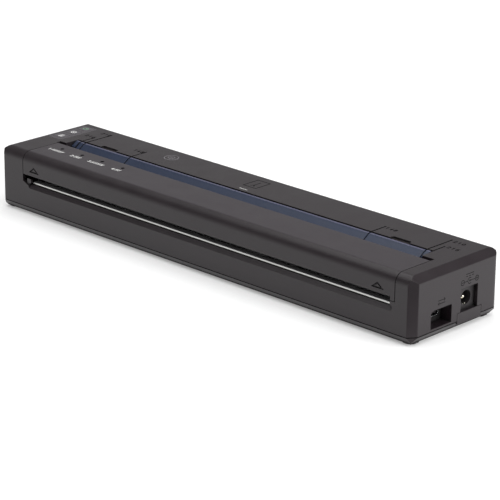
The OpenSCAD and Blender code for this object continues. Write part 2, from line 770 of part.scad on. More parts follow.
module triangle_mark(x) {
    along_y(yf - 1, yf + mark_d) difference() {
        triangle(x, 0);
        triangle(x, mark_line);
    }
}

module release_cover() {
    color(case_grey) difference() {
        union() {
            intersection() {
                difference() {
                    case_block(0, lip_z);
                    case_block(wall, lip_z - 1);
                }
                box(cover_x0, cover_x1, yf - 1, cover_yb, lip_z, zt + 1);
            }
            for (x = ear_x) cover_ear(x);
            // right front corner, which meets the case beside the slot
            box(slot_x1 + 0.1, cover_x1, yf, yf + 1, corner_z, lip_z + 1);
            // rear lip that is the front wall of the trough
            along_x(guide_x0 + 1.5, cover_x1 - 3.4) polygon([[cover_yb, zt - 1], [cover_yb, zt - 1.4],
                [cover_yb - 2.1, zt - 4], [cover_yb - 3.3, zt - 4], [cover_yb - 2, z_in + 0.1], [cover_yb - 2, zt - 1]]);
            for (x = [paper_x - 41 : rib_pitch : cover_x1 - 8]) cover_rib(x, cover_yb - 2.6);
            for (x = light_xs) cover_rib(x - 4.6, platen[0] + 0.6);
            // pads that hold the light board
            for (x = [light_xs[0] + light_pitch / 2, light_xs[light_count - 1] - light_pitch / 2])
                post(x, lights_y + 1.4, 0.9, z_in - 0.3, z_in + 0.2);
        }
        for (x = light_xs) post(x, lights_y, light_r + fit, z_in - 1, zt + 1);
        triangle_mark(slot_x0 + 2.9);
        triangle_mark(slot_x1 - 6.8);
    }
}

module cover_hinge_pins() {
    color("#c4c6c8") {
        bar(hinge, cover_pin_r, cover_x0 - cover_gap - hinge_boss_t + 0.2, ear_x[0] + ear_t + 0.1);
        bar(hinge, cover_pin_r, ear_x[1] - 0.1, cover_x1 + cover_gap + hinge_boss_t - 0.2);
    }
}

module led_board() {
    color("#1f5c3a") box(light_xs[0] - 3, light_xs[light_count - 1] + 3, lights_y - 1.9, lights_y + 2.3,
        z_in - 1.1, z_in - 0.3);
}

module led_chips() {
    color("#e8e4c8") for (x = light_xs)
        box(x - 0.8, x + 0.8, lights_y - 0.5, lights_y + 0.5, z_in - 0.3, z_in - 0.05);
}

module light_pipes() {
    color("#22262b") for (x = light_xs) post(x, lights_y, light_r, z_in, zt);
}

// ---------- paper path ----------
// Feed guide seen from the end: the ramp and a barrel on the pivot
module guide_profile() {
    back = yf + guide_back;
    polygon(concat(guide_ramp, arc(guide_pivot, guide_barrel, 120, 330, 10),
        [[back - 3.6, zt - 2.6 - guide_t], [back - 0.6, zt - 1.1 - guide_t], [back, zt - 0.7 - guide_t]]));
}

module feed_guide() {
    color(guide_blue) difference() {
        union() {
            along_x(guide_x0, guide_x1) guide_profile();
            // cheeks at the two ends
            for (x = [guide_x0, guide_x1 - 2.6]) along_x(x, x + 2.6) polygon([for (p = [[0, -0.15], [-1.1, -0.15],
                [-4.1, -1.9], [-4.3, -2.6], [0, -1.4]]) p + [yf + guide_back, zt]]);
        }
        // the paper marks run on down the ramp
        for (x = mark_xs) along_x(x - groove_w / 2, x + groove_w / 2) polygon(concat(
            [for (p = guide_ramp) p - [0, groove_d]], [[guide_ramp[3][0], zt + 1], [guide_ramp[0][0] + 1, zt + 1],
            [guide_ramp[0][0] + 1, guide_ramp[0][1] - groove_d]]));
        bar(guide_pivot, guide_pin_r + run_fit, guide_x0 - skin, guide_x0 + 3);
        bar(guide_pivot, guide_pin_r + run_fit, guide_x1 - 3, guide_x1 + skin);
    }
}

module guide_pins() {
    color("#c4c6c8") {
        bar(guide_pivot, guide_pin_r, guide_x0 - 2.8, guide_x0 + 2.8);
        bar(guide_pivot, guide_pin_r, guide_x1 - 2.8, guide_x1 + 2.8);
    }
}

// Lower chute: an arc round the platen that runs up to the feed guide
module paper_chute() {
    top = guide_pivot + [-1, -1.9];
    inner = concat(arc(platen, chute_r, -52, -16, 8), [top]);
    outer = concat(arc(platen, chute_r + chute_t, -52, -16, 8), [top + [0.9, -0.9]]);
    color("#2a2a2d") difference() {
        along_x(inner_l + 0.2, plate_r - 0.2)
            polygon(concat(inner, [for (i = [len(outer) - 1:-1:0]) outer[i]]));
        sensor_window();
    }
}

module sensor_window() {
    box(sensor_c[0] - 3.2, sensor_c[0] + 3.2, sensor_c[1] - 1.2, sensor_c[1] + 1.2,
        platen[1] - 6, platen[1] + 4);
}

module paper_sensor() {
    color("#151517") box(sensor_c[0] - 3, sensor_c[0] + 3, sensor_c[1] - 1, sensor_c[1] + 1,
        platen[1] - 5, platen[1] - 1.4);
}

module tear_bar() {
    color("#cfd2d4") along_x(slot_x0 + 0.15, slot_x1 - 1.5) polygon([[tear_y0, shelf_z], [tear_y1, shelf_z],
        [tear_y1, tear_top], [tear_y0 + tear_bevel, tear_top], [tear_y0, tear_top - tear_bevel]]);
}

// ---------- chassis ----------
module plate_holes() {
    circle_at(platen, bearing_r + 0.03);
    circle_at(head_pin, head_pin_r + fit);
}

module chassis() {
    y0 = chassis_y0 + 0.3;
    nose = [[platen[0] + 4.7, zt - 4], [platen[0] - 4.5, zt - 4], [y0, zt - 6]];
    color("#a9acb0") {
        difference() {
            union() {
                box(plate_l, plate_r + sheet_t, chassis_y0, chassis_y1, chassis_z, chassis_top);
                along_x(plate_l, plate_l + sheet_t) difference() {
                    polygon(concat([[y0, chassis_z], [motor[0] + 11.3, chassis_z], [motor[0] + 11.3, zt - 7.5],
                        [platen[0] + 7.8, zt - 7.5]], nose));
                    plate_holes();
                    circle_at(reduction, post_r + fit);
                    circle_at(idler, post_r + fit);
                    circle_at(motor, motor_lug_r + 0.1);
                    for (s = [-1, 1]) circle_at(motor + [0, s * motor_screw_c], 0.95);
                }
                along_x(plate_r, plate_r + sheet_t) difference() {
                    polygon(concat([[y0, chassis_z], [chassis_y1 + 2, chassis_z], [chassis_y1 + 2, zt - 10]], nose));
                    plate_holes();
                }
            }
            for (x = chassis_posts) post(x, chassis_post_y, 1.1, chassis_z - 1, chassis_top + 1);
            box(paper_x - cable_w / 2 - 0.8, paper_x + cable_w / 2 + 0.8, chassis_y0 + 2.6, chassis_post_y,
                chassis_z - 1, chassis_top + 1);
        }
    }
}

module chassis_screws() {
    color("#8f8f93") for (x = chassis_posts)
        translate([x, chassis_post_y, chassis_top]) mirror([0, 0, 1]) screw(1.9, 0.9, 0.9, 4.4);
}

// ---------- platen and gears ----------
function pitch_r(n) = gear_m * n / 2;

// Angle between an involute's start and the point at radius r
function inv_angle(rb, r) = let (t = sqrt(pow(r / rb, 2) - 1)) t * 180 / PI - atan(t);

// Half of the angle that a tooth takes up at radius r
function half_tooth(n, r) =
    let (rp = pitch_r(n), rb = rp * cos(20))
    (PI * gear_m / 2 - backlash) / 2 / rp * 180 / PI + inv_angle(rb, rp) - inv_angle(rb, max(r, rb));

// Spur gear outline with involute flanks; a tooth lies on the angle turn
module gear_outline(c, n, turn) {
    rp = pitch_r(n);
    tip = rp + 0.8 * gear_m;
    root = rp - 1.15 * gear_m;
    low = max(root, rp * cos(20));
    flank = [for (i = [0:4]) low + (tip - low) * i / 4];
    polygon([for (k = [0:n - 1]) let (a = turn + 360 * k / n) each concat(
        [polar(c, root, a - half_tooth(n, low))],
        [for (r = flank) polar(c, r, a - half_tooth(n, r))],
        [for (i = [4:-1:0]) polar(c, flank[i], a + half_tooth(n, flank[i]))],
        [polar(c, root, a + half_tooth(n, low))])]);
}

// Turn of a gear that meshes with its driver, from the driver's turn and the direction to it
function mesh_turn(n1, turn1, phi, n2) = phi + 180 + 360 / n2 * (0.5 - (turn1 - phi) * n1 / 360);
function direction(a, b) = atan2(b[1] - a[1], b[0] - a[0]);

module platen_shaft() {
    color("#c4c6c8") {
        bar(platen, journal_r, gear_ax - 0.8, plate_r + sheet_t + 1.2);
        bar(platen, core_r, inner_l + bearing_flange + 0.4, plate_r - bearing_flange - 0.4);
    }
}

module platen_rubber() {
    color("#232325") difference() {
        bar(platen, platen_r, rubber_x0, rubber_x1);
        bar(platen, core_r, rubber_x0 - 1, rubber_x1 + 1);
    }
}

module platen_gear() {
    color("#e6e2d6") difference() {
        union() {
            along_x(gear_ax, gear_ax + gear_t) gear_outline(platen, platen_teeth, turn_p);
            bar(platen, 2.7, gear_ax - 0.6, gear_ax + 1);
        }
        bar(platen, journal_r, gear_ax - 2, gear_ax + gear_t + 1);
    }
}

module platen_bearing(x0, x1, flange) {
    difference() {
        union() {
            bar(platen, bearing_r, x0, x1);
            bar(platen, bearing_r + 0.9, flange, flange + bearing_flange);
        }
        bar(platen, journal_r + run_fit, x0 - 1, x1 + 1);
    }
}

module platen_bearings() {
    color("#d9d5c8") {
        platen_bearing(plate_l - 0.9, inner_l + bearing_flange, inner_l);
        platen_bearing(plate_r - bearing_flange, plate_r + sheet_t + 0.8, plate_r - bearing_flange);
    }
}

module idler_gear() {
    color("#e6e2d6") difference() {
        along_x(gear_ax + 0.8, gear_ax + gear_t) gear_outline(idler, idler_teeth, turn_i);
        bar(idler, post_r + run_fit, gear_ax - 1, gear_ax + gear_t + 1);
    }
}

module reduction_gear() {
    color("#e6e2d6") difference() {
        union() {
            along_x(gear_ax, gear_ax + gear_t) gear_outline(reduction, small_teeth, turn_s);
            along_x(gear_bx, gear_bx + gear_t) gear_outline(reduction, large_teeth, turn_l);
            bar(reduction, 2.6, gear_bx + gear_t - 0.5, gear_ax + 0.5);
        }
        bar(reduction, post_r + run_fit, gear_bx - 1, gear_ax + gear_t + 1);
        // lightening holes of the large wheel
        for (a = [0:60:300]) bar(polar(reduction, 6, a), 1.5, gear_bx - 1, gear_bx + gear_t + 0.2);
    }
}

module gear_posts() {
    color("#c4c6c8") {
        bar(idler, post_r, gear_ax, inner_l);
        bar(reduction, post_r, gear_bx - 0.9, inner_l);
    }
}

module gear_clip(c, x) {
    difference() {
        bar(c, 1.9, x, x + 0.4);
        bar(c, post_r, x - 1, x + 1);
        box(x - 1, x + 1, c[0] - 0.5, c[0] + 0.5, c[1], c[1] + 3);
    }
}

module gear_clips() {
    color("#8f8f93") {
        gear_clip(idler, gear_ax + 0.25);
        gear_clip(reduction, gear_bx - 0.6);
    }
}

// ---------- motor ----------
module motor_body() {
    color("#9fa1a5") difference() {
        union() {
            bar(motor, motor_r, motor_x0, motor_x1);
            bar(motor, motor_lug_r, plate_l - 0.4, motor_x0 + 1);
        }
        bar(motor, motor_shaft_r + run_fit, plate_l - 2, motor_x0 + 9);
        for (s = [-1, 1]) bar(motor + [0, s * motor_screw_c], 0.92, motor_x0 - 1, motor_x0 + 3);
    }
}

module motor_shaft() {
    color("#c4c6c8") bar(motor, motor_shaft_r, gear_bx - 0.3, inner_l + 8);
}

module motor_pinion() {
    color("#c9a14a") difference() {
        along_x(gear_bx, gear_bx + gear_t) gear_outline(motor, pinion_teeth, turn_m);
        bar(motor, motor_shaft_r, gear_bx - 1, gear_bx + gear_t + 1);
    }
}

module motor_screws() {
    color("#8f8f93") for (s = [-1, 1]) {
        bar(motor + [0, s * motor_screw_c], 1.7, plate_l - 0.8, plate_l);
        bar(motor + [0, s * motor_screw_c], 0.9, plate_l - 0.2, inner_l + 2.8);
    }
}

// ---------- print head ----------
module head_heat_sink() {
    color("#b4b8bc") difference() {
        union() {
            box(sink_x0, sink_x1, sink_y0, sink_y1, sink_z, sink_top);
            for (y = [sink_y0, sink_y1 - fin_t])
                box(sink_x0, sink_x1, y, y + fin_t, sink_z - fin_d, sink_z + skin);
            for (x = head_ear_x) along_x(x, x + head_ear_t) polygon(concat(
                [[sink_y1 - 1, sink_z + 0.2], [sink_y1 - 1, sink_z - fin_d]], arc(head_pin, 2.6, -110, 70, 10)));
        }
        for (x = head_ear_x) bar(head_pin, head_pin_r + run_fit, x - 1, x + head_ear_t + 1);
    }
}

module head_strip() {
    color("#e9e6df") {
        box(sink_x0, sink_x1, sink_y0 + 0.4, sink_y1 - 0.5, sink_top, sink_top + strip_t);
        along_x(sink_x0 + 1, sink_x1 - 1) polygon([[platen[0] - 0.8, sink_top + strip_t - skin],
            [platen[0] - 0.4, head_top], [platen[0] + 0.4, head_top], [platen[0] + 0.8, sink_top + strip_t - skin]]);
    }
}

module head_pivot() {
    color("#c4c6c8") bar(head_pin, head_pin_r, plate_l - 0.3, plate_r + sheet_t + 0.3);
}

// One unbroken tube of six sides along a helix
module coil(r, wire, turns, z0, z1) {
    steps = turns * 8;
    sides = 6;
    pts = [for (i = [0:steps]) let (a = 360 * turns * i / steps, z = z0 + (z1 - z0) * i / steps)
        for (j = [0:sides - 1]) let (b = 360 * j / sides, q = r + wire * cos(b))
            [q * cos(a), q * sin(a), z + wire * sin(b)]];
    walls = [for (i = [0:steps - 1], j = [0:sides - 1]) let (k = (j + 1) % sides, a = i * sides, b = a + sides)
        each [[a + j, b + j, b + k], [a + j, b + k, a + k]]];
    last = steps * sides;
    ends = [for (j = [1:sides - 2]) each [[0, j, j + 1], [last, last + j + 1, last + j]]];
    polyhedron(pts, concat(walls, ends));
}

module head_springs() {
    color("#b9bcc0") for (x = spring_xs)
        translate([x, spring_y, 0]) coil(spring_r, spring_wire, spring_turns, spring_z0, spring_z1);
}

// Flat cable that drops from the head to the main board in a soft bow
module head_cable() {
    c = [spring_y, (sink_z + board_top) / 2];
    h = (sink_z - board_top) / 2 - 1.15;
    bow = [for (i = [0:12]) let (a = -90 + 15 * i) c + [1.3 * cos(a), h * sin(a)]];
    back = [for (i = [12:-1:0]) bow[i] + [0.3, 0]];
    color("#c8b27a") along_x(paper_x - cable_w / 2, paper_x + cable_w / 2)
        polygon(concat([[spring_y, board_top + 1.1]], bow, [[spring_y, sink_z - 0.05],
            [spring_y + 0.3, sink_z - 0.05]], back, [[spring_y + 0.3, board_top + 1.1]]));
}

// ---------- boards ----------
module main_board() {
    color("#1f5c3a") difference() {
        box(board_x0, board_x1, board_y0, board_y1, board_z, board_top);
        for (x = board_posts_x, y = board_posts_y) post(x, y, 0.9, board_z - 1, board_top + 1);
    }
}

module board_chips() {
    right = paper_x + cable_w / 2;
    color("#1c1c1e") for (c = [[board_x0 + 12, 5, 9, 9], [board_x0 + 30, 6, 6, 5], [right + 7, 5, 12, 8],
            [right + 29, 6, 7, 7], [right + 47, 4, 5, 9]])
        box(c[0], c[0] + c[2], board_y0 + c[1], board_y0 + c[1] + c[3], board_top, board_top + 1.1);
}

module board_capacitors() {
    color("#303a58") for (x = capacitor_xs)
        post(board_x0 + x, tall_y, 2.9, board_top, board_top + 7);
}

module board_connectors() {
    color("#ded9c6") {
        box(paper_x - cable_w / 2 - 0.6, paper_x + cable_w / 2 + 0.6, spring_y - 1.4, spring_y + 1.6,
            board_top, board_top + 1);
        for (x = connector_xs)
            box(board_x0 + x, board_x0 + x + 9, tall_y - 2, tall_y + 2, board_top, board_top + 5);
    }
}

module main_board_screws() {
    color("#8f8f93") for (x = board_posts_x, y = board_posts_y)
        translate([x, y, board_top]) mirror([0, 0, 1]) screw(1.5, 0.7, 0.7, 2.9);
}

module io_board() {
    x0 = plate_r + 2;
    color("#1f5c3a") difference() {
        union() {
            box(x0, bezel_x - 0.3, recess_y[0] - 3.3, recess_y[1] + 2, io_z, io_top);
            box(x0, xr - wall - 0.7, recess_y[1] + 1, jack_c[0] + 8.25, io_z, io_top);
        }
        for (y = io_posts_y) post(io_post_x, y, 0.9, io_z - 1, io_top + 1);
    }
}

// Flat socket outline with round ends, drawn in by t
module usb_outline(t) {
    r = 1.5 - t;
    polygon(round_path(rect_path(usb_c[0] - 4.5 + t, usb_c[0] + 4.5 - t, usb_c[1] - 1.6 + t, usb_c[1] + 1.6 - t),
        [r, r, r, r], 6));
}

module usb_shell() {
    color("#b9bcc0") difference() {
        along_x(plate_r + 2.3, bezel_x + 1.6) usb_outline(0);
        along_x(plate_r + 2.8, bezel_x + 3) usb_outline(0.3);
    }
}

module usb_tongue() {
    color("#151517") box(plate_r + 2.8, bezel_x + 1.2, usb_c[0] - 3.3, usb_c[0] + 3.3,
        usb_c[1] - 0.35, usb_c[1] + 0.35);
}

// Block round the recess of the data socket
module socket_frame(x0, x1) {
    box(x0, x1, recess_y[0] - 1, recess_y[1] + 1, recess_z[0] - 0.9, recess_z[1] + 1);
}

module usb_bezel() {
    color(dark_grey) difference() {
        socket_frame(bezel_x, bezel_x + sheet_t);
        along_x(bezel_x - 1, bezel_x + 3) usb_outline(-0.15);
    }
}

module dc_jack() {
    color("#151517") difference() {
        box(jack_face - 10.4, jack_face, jack_c[0] - jack_half, jack_c[0] + jack_half, io_top,
            jack_c[1] + jack_half);
        bar(jack_c, jack_r, jack_face - 9, xr);
        bar(jack_c, jack_pin_r, jack_face - 10.1, xr);
    }
}

module dc_jack_pin() {
    color("#d8c98a") {
        bar(jack_c, jack_pin_r, jack_face - 9.9, jack_face - jack_pin_back - jack_pin_r);
        translate([jack_face - jack_pin_back - jack_pin_r, jack_c[0], jack_c[1]]) sphere(r = jack_pin_r);
    }
}

// ---------- battery ----------
module battery_cells() {
    color("#3f6e8c") for (i = [0:cells - 1]) {
        x = cells_x0 + cell_l * i;
        bar(cell_c, cell_r, x + 0.2, x + cell_l - 1.2);
        bar(cell_c, 2.6, x + cell_l - 1.3, x + cell_l - 0.1);
    }
}

module battery_sleeve() {
    color("#27292e") difference() {
        bar(cell_c, cell_r + sleeve_t, cells_x0, cells_x1 - 0.8);
        bar(cell_c, cell_r + fit, cells_x0 - 1, cells_x1);
    }
}

module battery_terminals() {
    color("#c9a14a") for (x = [cells_x0 - 1.2, cells_x1 + 0.2]) {
        box(x, x + 0.8, cell_c[0] - 4, cell_c[0] + 4, floor_z, cell_c[1] + 4);
        box(x, x + 0.8, cell_c[0] - 6, cell_c[0] + 6, floor_z, floor_z + 2);
    }
}

module battery_door() {
    a = door_axis;
    nail = [(door_x0 + door_x1) / 2, door_top + 1];
    color(case_grey) difference() {
        union() {
            // panel that follows the rear face
            along_x(door_x0, door_x1) polygon([[yb - wall, a[1]], [yb, a[1] + 0.9], [yb, door_top],
                [yb - 1.5, door_top], [yb - wall - 0.2, door_top - 0.6], [yb - wall - 0.2, a[1] + 2]]);
            bar(a, door_barrel, door_x0, door_x1);
        }
        for (x = [door_x0 - skin, door_x1 - 4]) bar(a, door_pin_r + run_fit, x, x + 4 + skin);
        // finger hollow at the top edge
        along_y(yb - 0.7, yb + 1) polygon(arc(nail, 9, 180, 360, 12));
    }
}

module door_hinge_pins() {
    color("#c4c6c8") {
        bar(door_axis, door_pin_r, door_x0 - 2.8, door_x0 + 3.6);
        bar(door_axis, door_pin_r, door_x1 - 3.6, door_x1 + 2.8);
    }
}

upper_case();
lower_case();
feet();
case_screws();
button_panel();
front_key();
middle_key();
power_key();
key_board();
key_switches();
key_board_screws();
release_cover();
cover_hinge_pins();
led_board();
led_chips();
light_pipes();
feed_guide();
guide_pins();
paper_chute();
paper_sensor();
chassis();
chassis_screws();
platen_shaft();
platen_rubber();
platen_gear();
platen_bearings();
idler_gear();
reduction_gear();
gear_posts();
gear_clips();
motor_body();
motor_shaft();
motor_pinion();
motor_screws();
head_heat_sink();
head_strip();
head_pivot();
head_springs();
head_cable();
tear_bar();
main_board();
board_chips();
board_capacitors();
board_connectors();
main_board_screws();
io_board();
usb_shell();
usb_tongue();
usb_bezel();
dc_jack();
dc_jack_pin();
battery_cells();
battery_sleeve();
battery_terminals();
battery_door();
door_hinge_pins();
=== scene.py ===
"""Looks of a page-wide portable thermal printer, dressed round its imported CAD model.

Every mark, legend and finish is one operator of a small add-on, in metres and in the frame of the
CAD: +X towards the end with the sockets, +Y to the back, +Z up.
"""

import json
import math

import bmesh
import bpy
import numpy as np
from mathutils import Matrix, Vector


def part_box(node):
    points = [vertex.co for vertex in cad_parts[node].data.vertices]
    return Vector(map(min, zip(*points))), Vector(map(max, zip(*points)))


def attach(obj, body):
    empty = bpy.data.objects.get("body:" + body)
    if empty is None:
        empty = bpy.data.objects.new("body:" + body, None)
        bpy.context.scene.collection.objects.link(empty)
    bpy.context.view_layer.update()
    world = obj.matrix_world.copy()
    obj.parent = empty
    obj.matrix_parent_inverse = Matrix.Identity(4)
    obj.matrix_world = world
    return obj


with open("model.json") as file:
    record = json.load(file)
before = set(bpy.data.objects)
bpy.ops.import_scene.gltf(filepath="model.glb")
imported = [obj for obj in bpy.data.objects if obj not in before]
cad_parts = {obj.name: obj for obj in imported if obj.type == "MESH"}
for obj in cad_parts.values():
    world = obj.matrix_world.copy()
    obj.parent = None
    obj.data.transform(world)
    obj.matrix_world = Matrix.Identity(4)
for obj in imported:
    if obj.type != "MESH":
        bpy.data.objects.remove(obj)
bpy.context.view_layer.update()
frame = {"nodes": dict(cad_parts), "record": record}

bl_info = {
    "name": "Portable printer looks",
    "version": (1, 0, 0),
    "blender": (4, 5, 0),
    "location": "View3D > Sidebar > Printer",
    "description": "Finishes, marks and studio of a page-wide portable thermal printer",
    "category": "Object",
}

MM = 0.001
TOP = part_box("upper_case")[1].z     # height of the top face
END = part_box("upper_case")[1].x     # where the end face with the sockets lies


# ---- settings ------------------------------------------------------------------------------

def linear(code):
    """An sRGB hex code as linear light: a straight line near black, then a power of 2.4."""
    s = np.array([int(code[i:i + 2], 16) for i in (1, 3, 5)]) / 255
    return tuple(float(v) for v in np.where(s <= 0.04045, s / 12.92, ((s + 0.055) / 1.055) ** 2.4))


def tint(label, code, about):
    """A colour setting with an sRGB hex code as its default."""
    return bpy.props.FloatVectorProperty(
        name=label, description=about, default=linear(code), subtype="COLOR", size=3, min=0, max=1)


def length(label, metres, about):
    """A length setting."""
    return bpy.props.FloatProperty(
        name=label, description=about, default=metres, min=0, unit="LENGTH", precision=5)


def angle(label, degrees, about):
    """An angle setting, given in degrees."""
    return bpy.props.FloatProperty(
        name=label, description=about, default=math.radians(degrees), subtype="ANGLE")


class PrinterColours(bpy.types.PropertyGroup):
    """Colours of the mouldings, the print on them, and the light and shade painted on them."""
    case: tint("Case", "#20191d", "Near-black ABS of the case, cover and battery door")
    # painted top light: the lighter colour of the cover's level face
    cover_top_highlight: tint("Handled top", "#2c262b", "Level face of the cover, rubbed by hands")
    panel: tint("Key panel", "#433f43", "Plastic round the keys")
    keys: tint("Keys", "#4a464b", "Plastic of the keys")
    guide: tint("Feed guide", "#0f203c", "Navy plastic of the feed guide")
    # painted highlight: the lilac colour of the level flat along the rear of the feed guide
    land: tint("Guide land", "#4a4a60", "Rubbed flat along the rear of the feed guide")
    ink: tint("Ink", "#dcdcda", "White pad-printed ink of the numerals and legends")
    # painted shade: the paper widths are moulded into the case, and this black ink stands in for
    # their shade
    deboss_shade: tint("Dark ink", "#0b0a0b", "Black pad-printed ink of the paper widths")
    # painted shade: this grey ink stands in for the shade of the moulded socket and sheet signs
    faint_deboss_shade: tint("Faint ink", "#0e0c0d", "Grey pad-printed ink of the socket and sheet signs")
    pale_ink: tint("Pale ink", "#858286", "Pale pad-printed ink of the date ring")
    ready: tint("Power legend", "#6f9c7c", "Green ink of the power legend")


class PrinterMarks(bpy.types.PropertyGroup):
    """Sizes of the marks."""
    numeral: length("Numeral height", 1.7 * MM, "Height of the status numerals")
    width_numeral: length("Width numeral height", 1.9 * MM, "Height of the paper width numerals")
    stroke: length("Print stroke", 0.34 * MM, "Width of a printed line")
    ink_rise: length("Ink thickness", 0.02 * MM, "How far ink stands above the plastic")
    legend: length("Legend size", 2.5 * MM, "Width of a key's legend")
    sign_stroke: length("Sign stroke", 0.3 * MM, "Width of a line of the socket signs")


class PrinterStage(bpy.types.PropertyGroup):
    """Where the camera stands, fitted to the case's edges in the photograph."""
    azimuth: angle("Azimuth", 43.8993, "Turn of the view about the vertical, from looking along +Y")
    elevation: angle("Elevation", 19.6926, "Height of the view above the horizon")
    roll: angle("Roll", 0.549, "Tilt of the picture")
    place: bpy.props.FloatVectorProperty(
        name="Camera place", description="Where the camera stands", subtype="XYZ", unit="LENGTH",
        default=(0.688034, -0.70447, 0.355594))
    lens: bpy.props.FloatProperty(
        name="Lens", description="Focal length in millimetres on a 36 mm sensor", default=168.434)


# ---- surfaces ------------------------------------------------------------------------------

WELD = 0.001 * MM                   # points nearer to each other than this become one
BEAD_STEP = 45                      # degrees between the points of a bead's section
BEAD_END = (90, 67.5, 45, 22.5)     # degrees of the rings in the half round at a bead's end
BEAD_SINK = 0.2                     # depth of a bead's underside, as a share of its rise
SHARPEST_MITRE = 0.55               # least cosine of half a bend, which keeps mitres short


def grid_faces(rows, columns, wrap_rows, wrap_columns):
    """Quads of a grid of points, row after row, each joined to the next row and column."""
    r = np.arange(rows if wrap_rows else rows - 1)[:, None]
    c = np.arange(columns if wrap_columns else columns - 1)[None, :]
    nr, nc = (r + 1) % rows, (c + 1) % columns
    corners = r * columns + c, nr * columns + c, nr * columns + nc, r * columns + nc
    return np.stack(np.broadcast_arrays(*corners), -1).reshape(-1, 4)


def solid(name, parts):
    """One object of several grids of points; rings that end in a point are welded and faces
    turned out."""
    points = np.concatenate([grid.reshape(-1, 3) for grid, _, _ in parts])
    first = np.cumsum([0] + [grid.shape[0] * grid.shape[1] for grid, _, _ in parts[:-1]])
    faces = np.concatenate([grid_faces(*grid.shape[:2], wrap_rows, wrap_columns) + offset
                            for (grid, wrap_rows, wrap_columns), offset in zip(parts, first)])
    mesh = bpy.data.meshes.new(name)
    mesh.from_pydata(points.tolist(), [], faces.tolist())
    shape = bmesh.new()
    shape.from_mesh(mesh)
    bmesh.ops.remove_doubles(shape, verts=shape.verts, dist=WELD)
    bmesh.ops.recalc_face_normals(shape, faces=shape.faces)
    shape.to_mesh(mesh)
    shape.free()
    mesh.shade_smooth()
    piece = bpy.data.objects.new(name, mesh)
    bpy.context.scene.collection.objects.link(piece)
    return piece


def bead(line, width, rise, plane):
    """A line of ink along a path on a plane.

    Each point of the path carries a section: cosine of the turn times half the width to the side,
    and sine times the rise upwards, cut off flat just under the plane. An open path ends in half
    rounds, on which the section shrinks as the cosine while it moves on as the sine. A path that
    ends where it began is a closed ring.
    """
    origin, right, up = (np.array(v, float) for v in plane)
    out = np.cross(right, up)
    line = np.asarray(line, float)
    closed = np.allclose(line[0], line[-1])
    if closed:
        line = line[:-1]
        before, after = np.roll(line, 1, 0), np.roll(line, -1, 0)
    else:
        before = np.vstack([2 * line[:1] - line[1:2], line[:-1]])
        after = np.vstack([line[1:], 2 * line[-1:] - line[-2:-1]])
    into, away = line - before, after - line
    into /= np.linalg.norm(into, axis=1, keepdims=True)
    away /= np.linalg.norm(away, axis=1, keepdims=True)
    along = into + away
    along /= np.linalg.norm(along, axis=1, keepdims=True)
    side = np.stack([-along[:, 1], along[:, 0]], 1)
    mitre = 1 / np.clip((along * into).sum(1), SHARPEST_MITRE, 1)
    size = np.ones(len(line))
    if not closed:
        turn = np.radians(BEAD_END)
        rings = len(turn)
        head = line[0] - into[0] * np.sin(turn)[:, None] * width / 2
        tail = line[-1] + away[-1] * np.sin(turn[::-1])[:, None] * width / 2
        line = np.vstack([head, line, tail])
        side = np.vstack([np.repeat(side[:1], rings, 0), side, np.repeat(side[-1:], rings, 0)])
        mitre = np.concatenate([np.ones(rings), mitre, np.ones(rings)])
        size = np.concatenate([np.cos(turn), size, np.cos(turn[::-1])])
    a = np.radians(np.arange(0, 360, BEAD_STEP))
    across = np.cos(a) * width / 2
    # the three lowest points of a section lie in its flat underside
    high = np.where(np.sin(a) < -0.1, -BEAD_SINK * rise, np.sin(a) * rise)
    shift = across[None, :] * (size * mitre)[:, None]
    flat = line[:, None, :] + side[:, None, :] * shift[..., None]
    lift = high[None, :] * size[:, None]
    points = origin + flat[..., :1] * right + flat[..., 1:] * up + lift[..., None] * out
    return points, closed, True


def turned(profile, centre, angles):
    """A profile of (x, r) points carried round an axis along X through a centre (y, z): each angle
    puts a point at its radius times the cosine in y and the sine in z."""
    x, r = np.asarray(profile, float).T
    a = np.radians(np.asarray(angles, float))[:, None]
    y, z = centre[0] + r * np.cos(a), centre[1] + r * np.sin(a)
    return np.stack([np.broadcast_to(x, y.shape), y, z], -1)


def arc(cx, cy, rx, ry, start, end, steps=14):
    """Points of an ellipse's arc between two angles in degrees: the centre plus each radius times
    the cosine and the sine."""
    a = np.radians(np.linspace(start, end, steps))
    return np.stack([cx + rx * np.cos(a), cy + ry * np.sin(a)], 1)


def ring(cx, cy, r, steps=24):
    """A closed circle."""
    return arc(cx, cy, r, r, 0, 360, steps + 1)


def mm(*paths):
    """Paths that are given in millimetres, in metres."""
    return [np.array(path, float) * MM for path in paths]


# strokes of the numerals in a box one high and 0.6 wide
NUMERALS = {
    "0": [arc(0.3, 0.5, 0.3, 0.5, 0, 360, 21)],
    "1": [[(0.1, 0.8), (0.34, 1), (0.34, 0)]],
    "2": [np.vstack([arc(0.3, 0.71, 0.29, 0.29, 165, -38), [(0, 0), (0.6, 0)]])],
    "3": [np.vstack([arc(0.27, 0.75, 0.27, 0.25, 150, -80, 10),
                     arc(0.27, 0.26, 0.31, 0.26, 80, -150, 12)])],
    "4": [[(0.46, 0), (0.46, 1), (0, 0.32), (0.64, 0.32)]],
    "6": [np.vstack([arc(0.56, 0.42, 0.56, 0.58, 88, 176, 8),
                     arc(0.3, 0.31, 0.3, 0.31, 170, -172, 18)])],
    "8": [arc(0.3, 0.77, 0.25, 0.23, 0, 360, 17), arc(0.3, 0.27, 0.3, 0.27, 0, 360, 17)],
}


def number(text, height, step=0.85):
    """The strokes of a number; each numeral starts a step, in heights, after the last."""
    return [np.asarray(stroke, float) * height + (step * height * i, 0)
            for i, numeral in enumerate(text) for stroke in NUMERALS[numeral]]


def plane_top(x, y):
    """The plane of the top face, read from the front, centred on a point."""
    return (x, y, TOP), (1, 0, 0), (0, 1, 0)


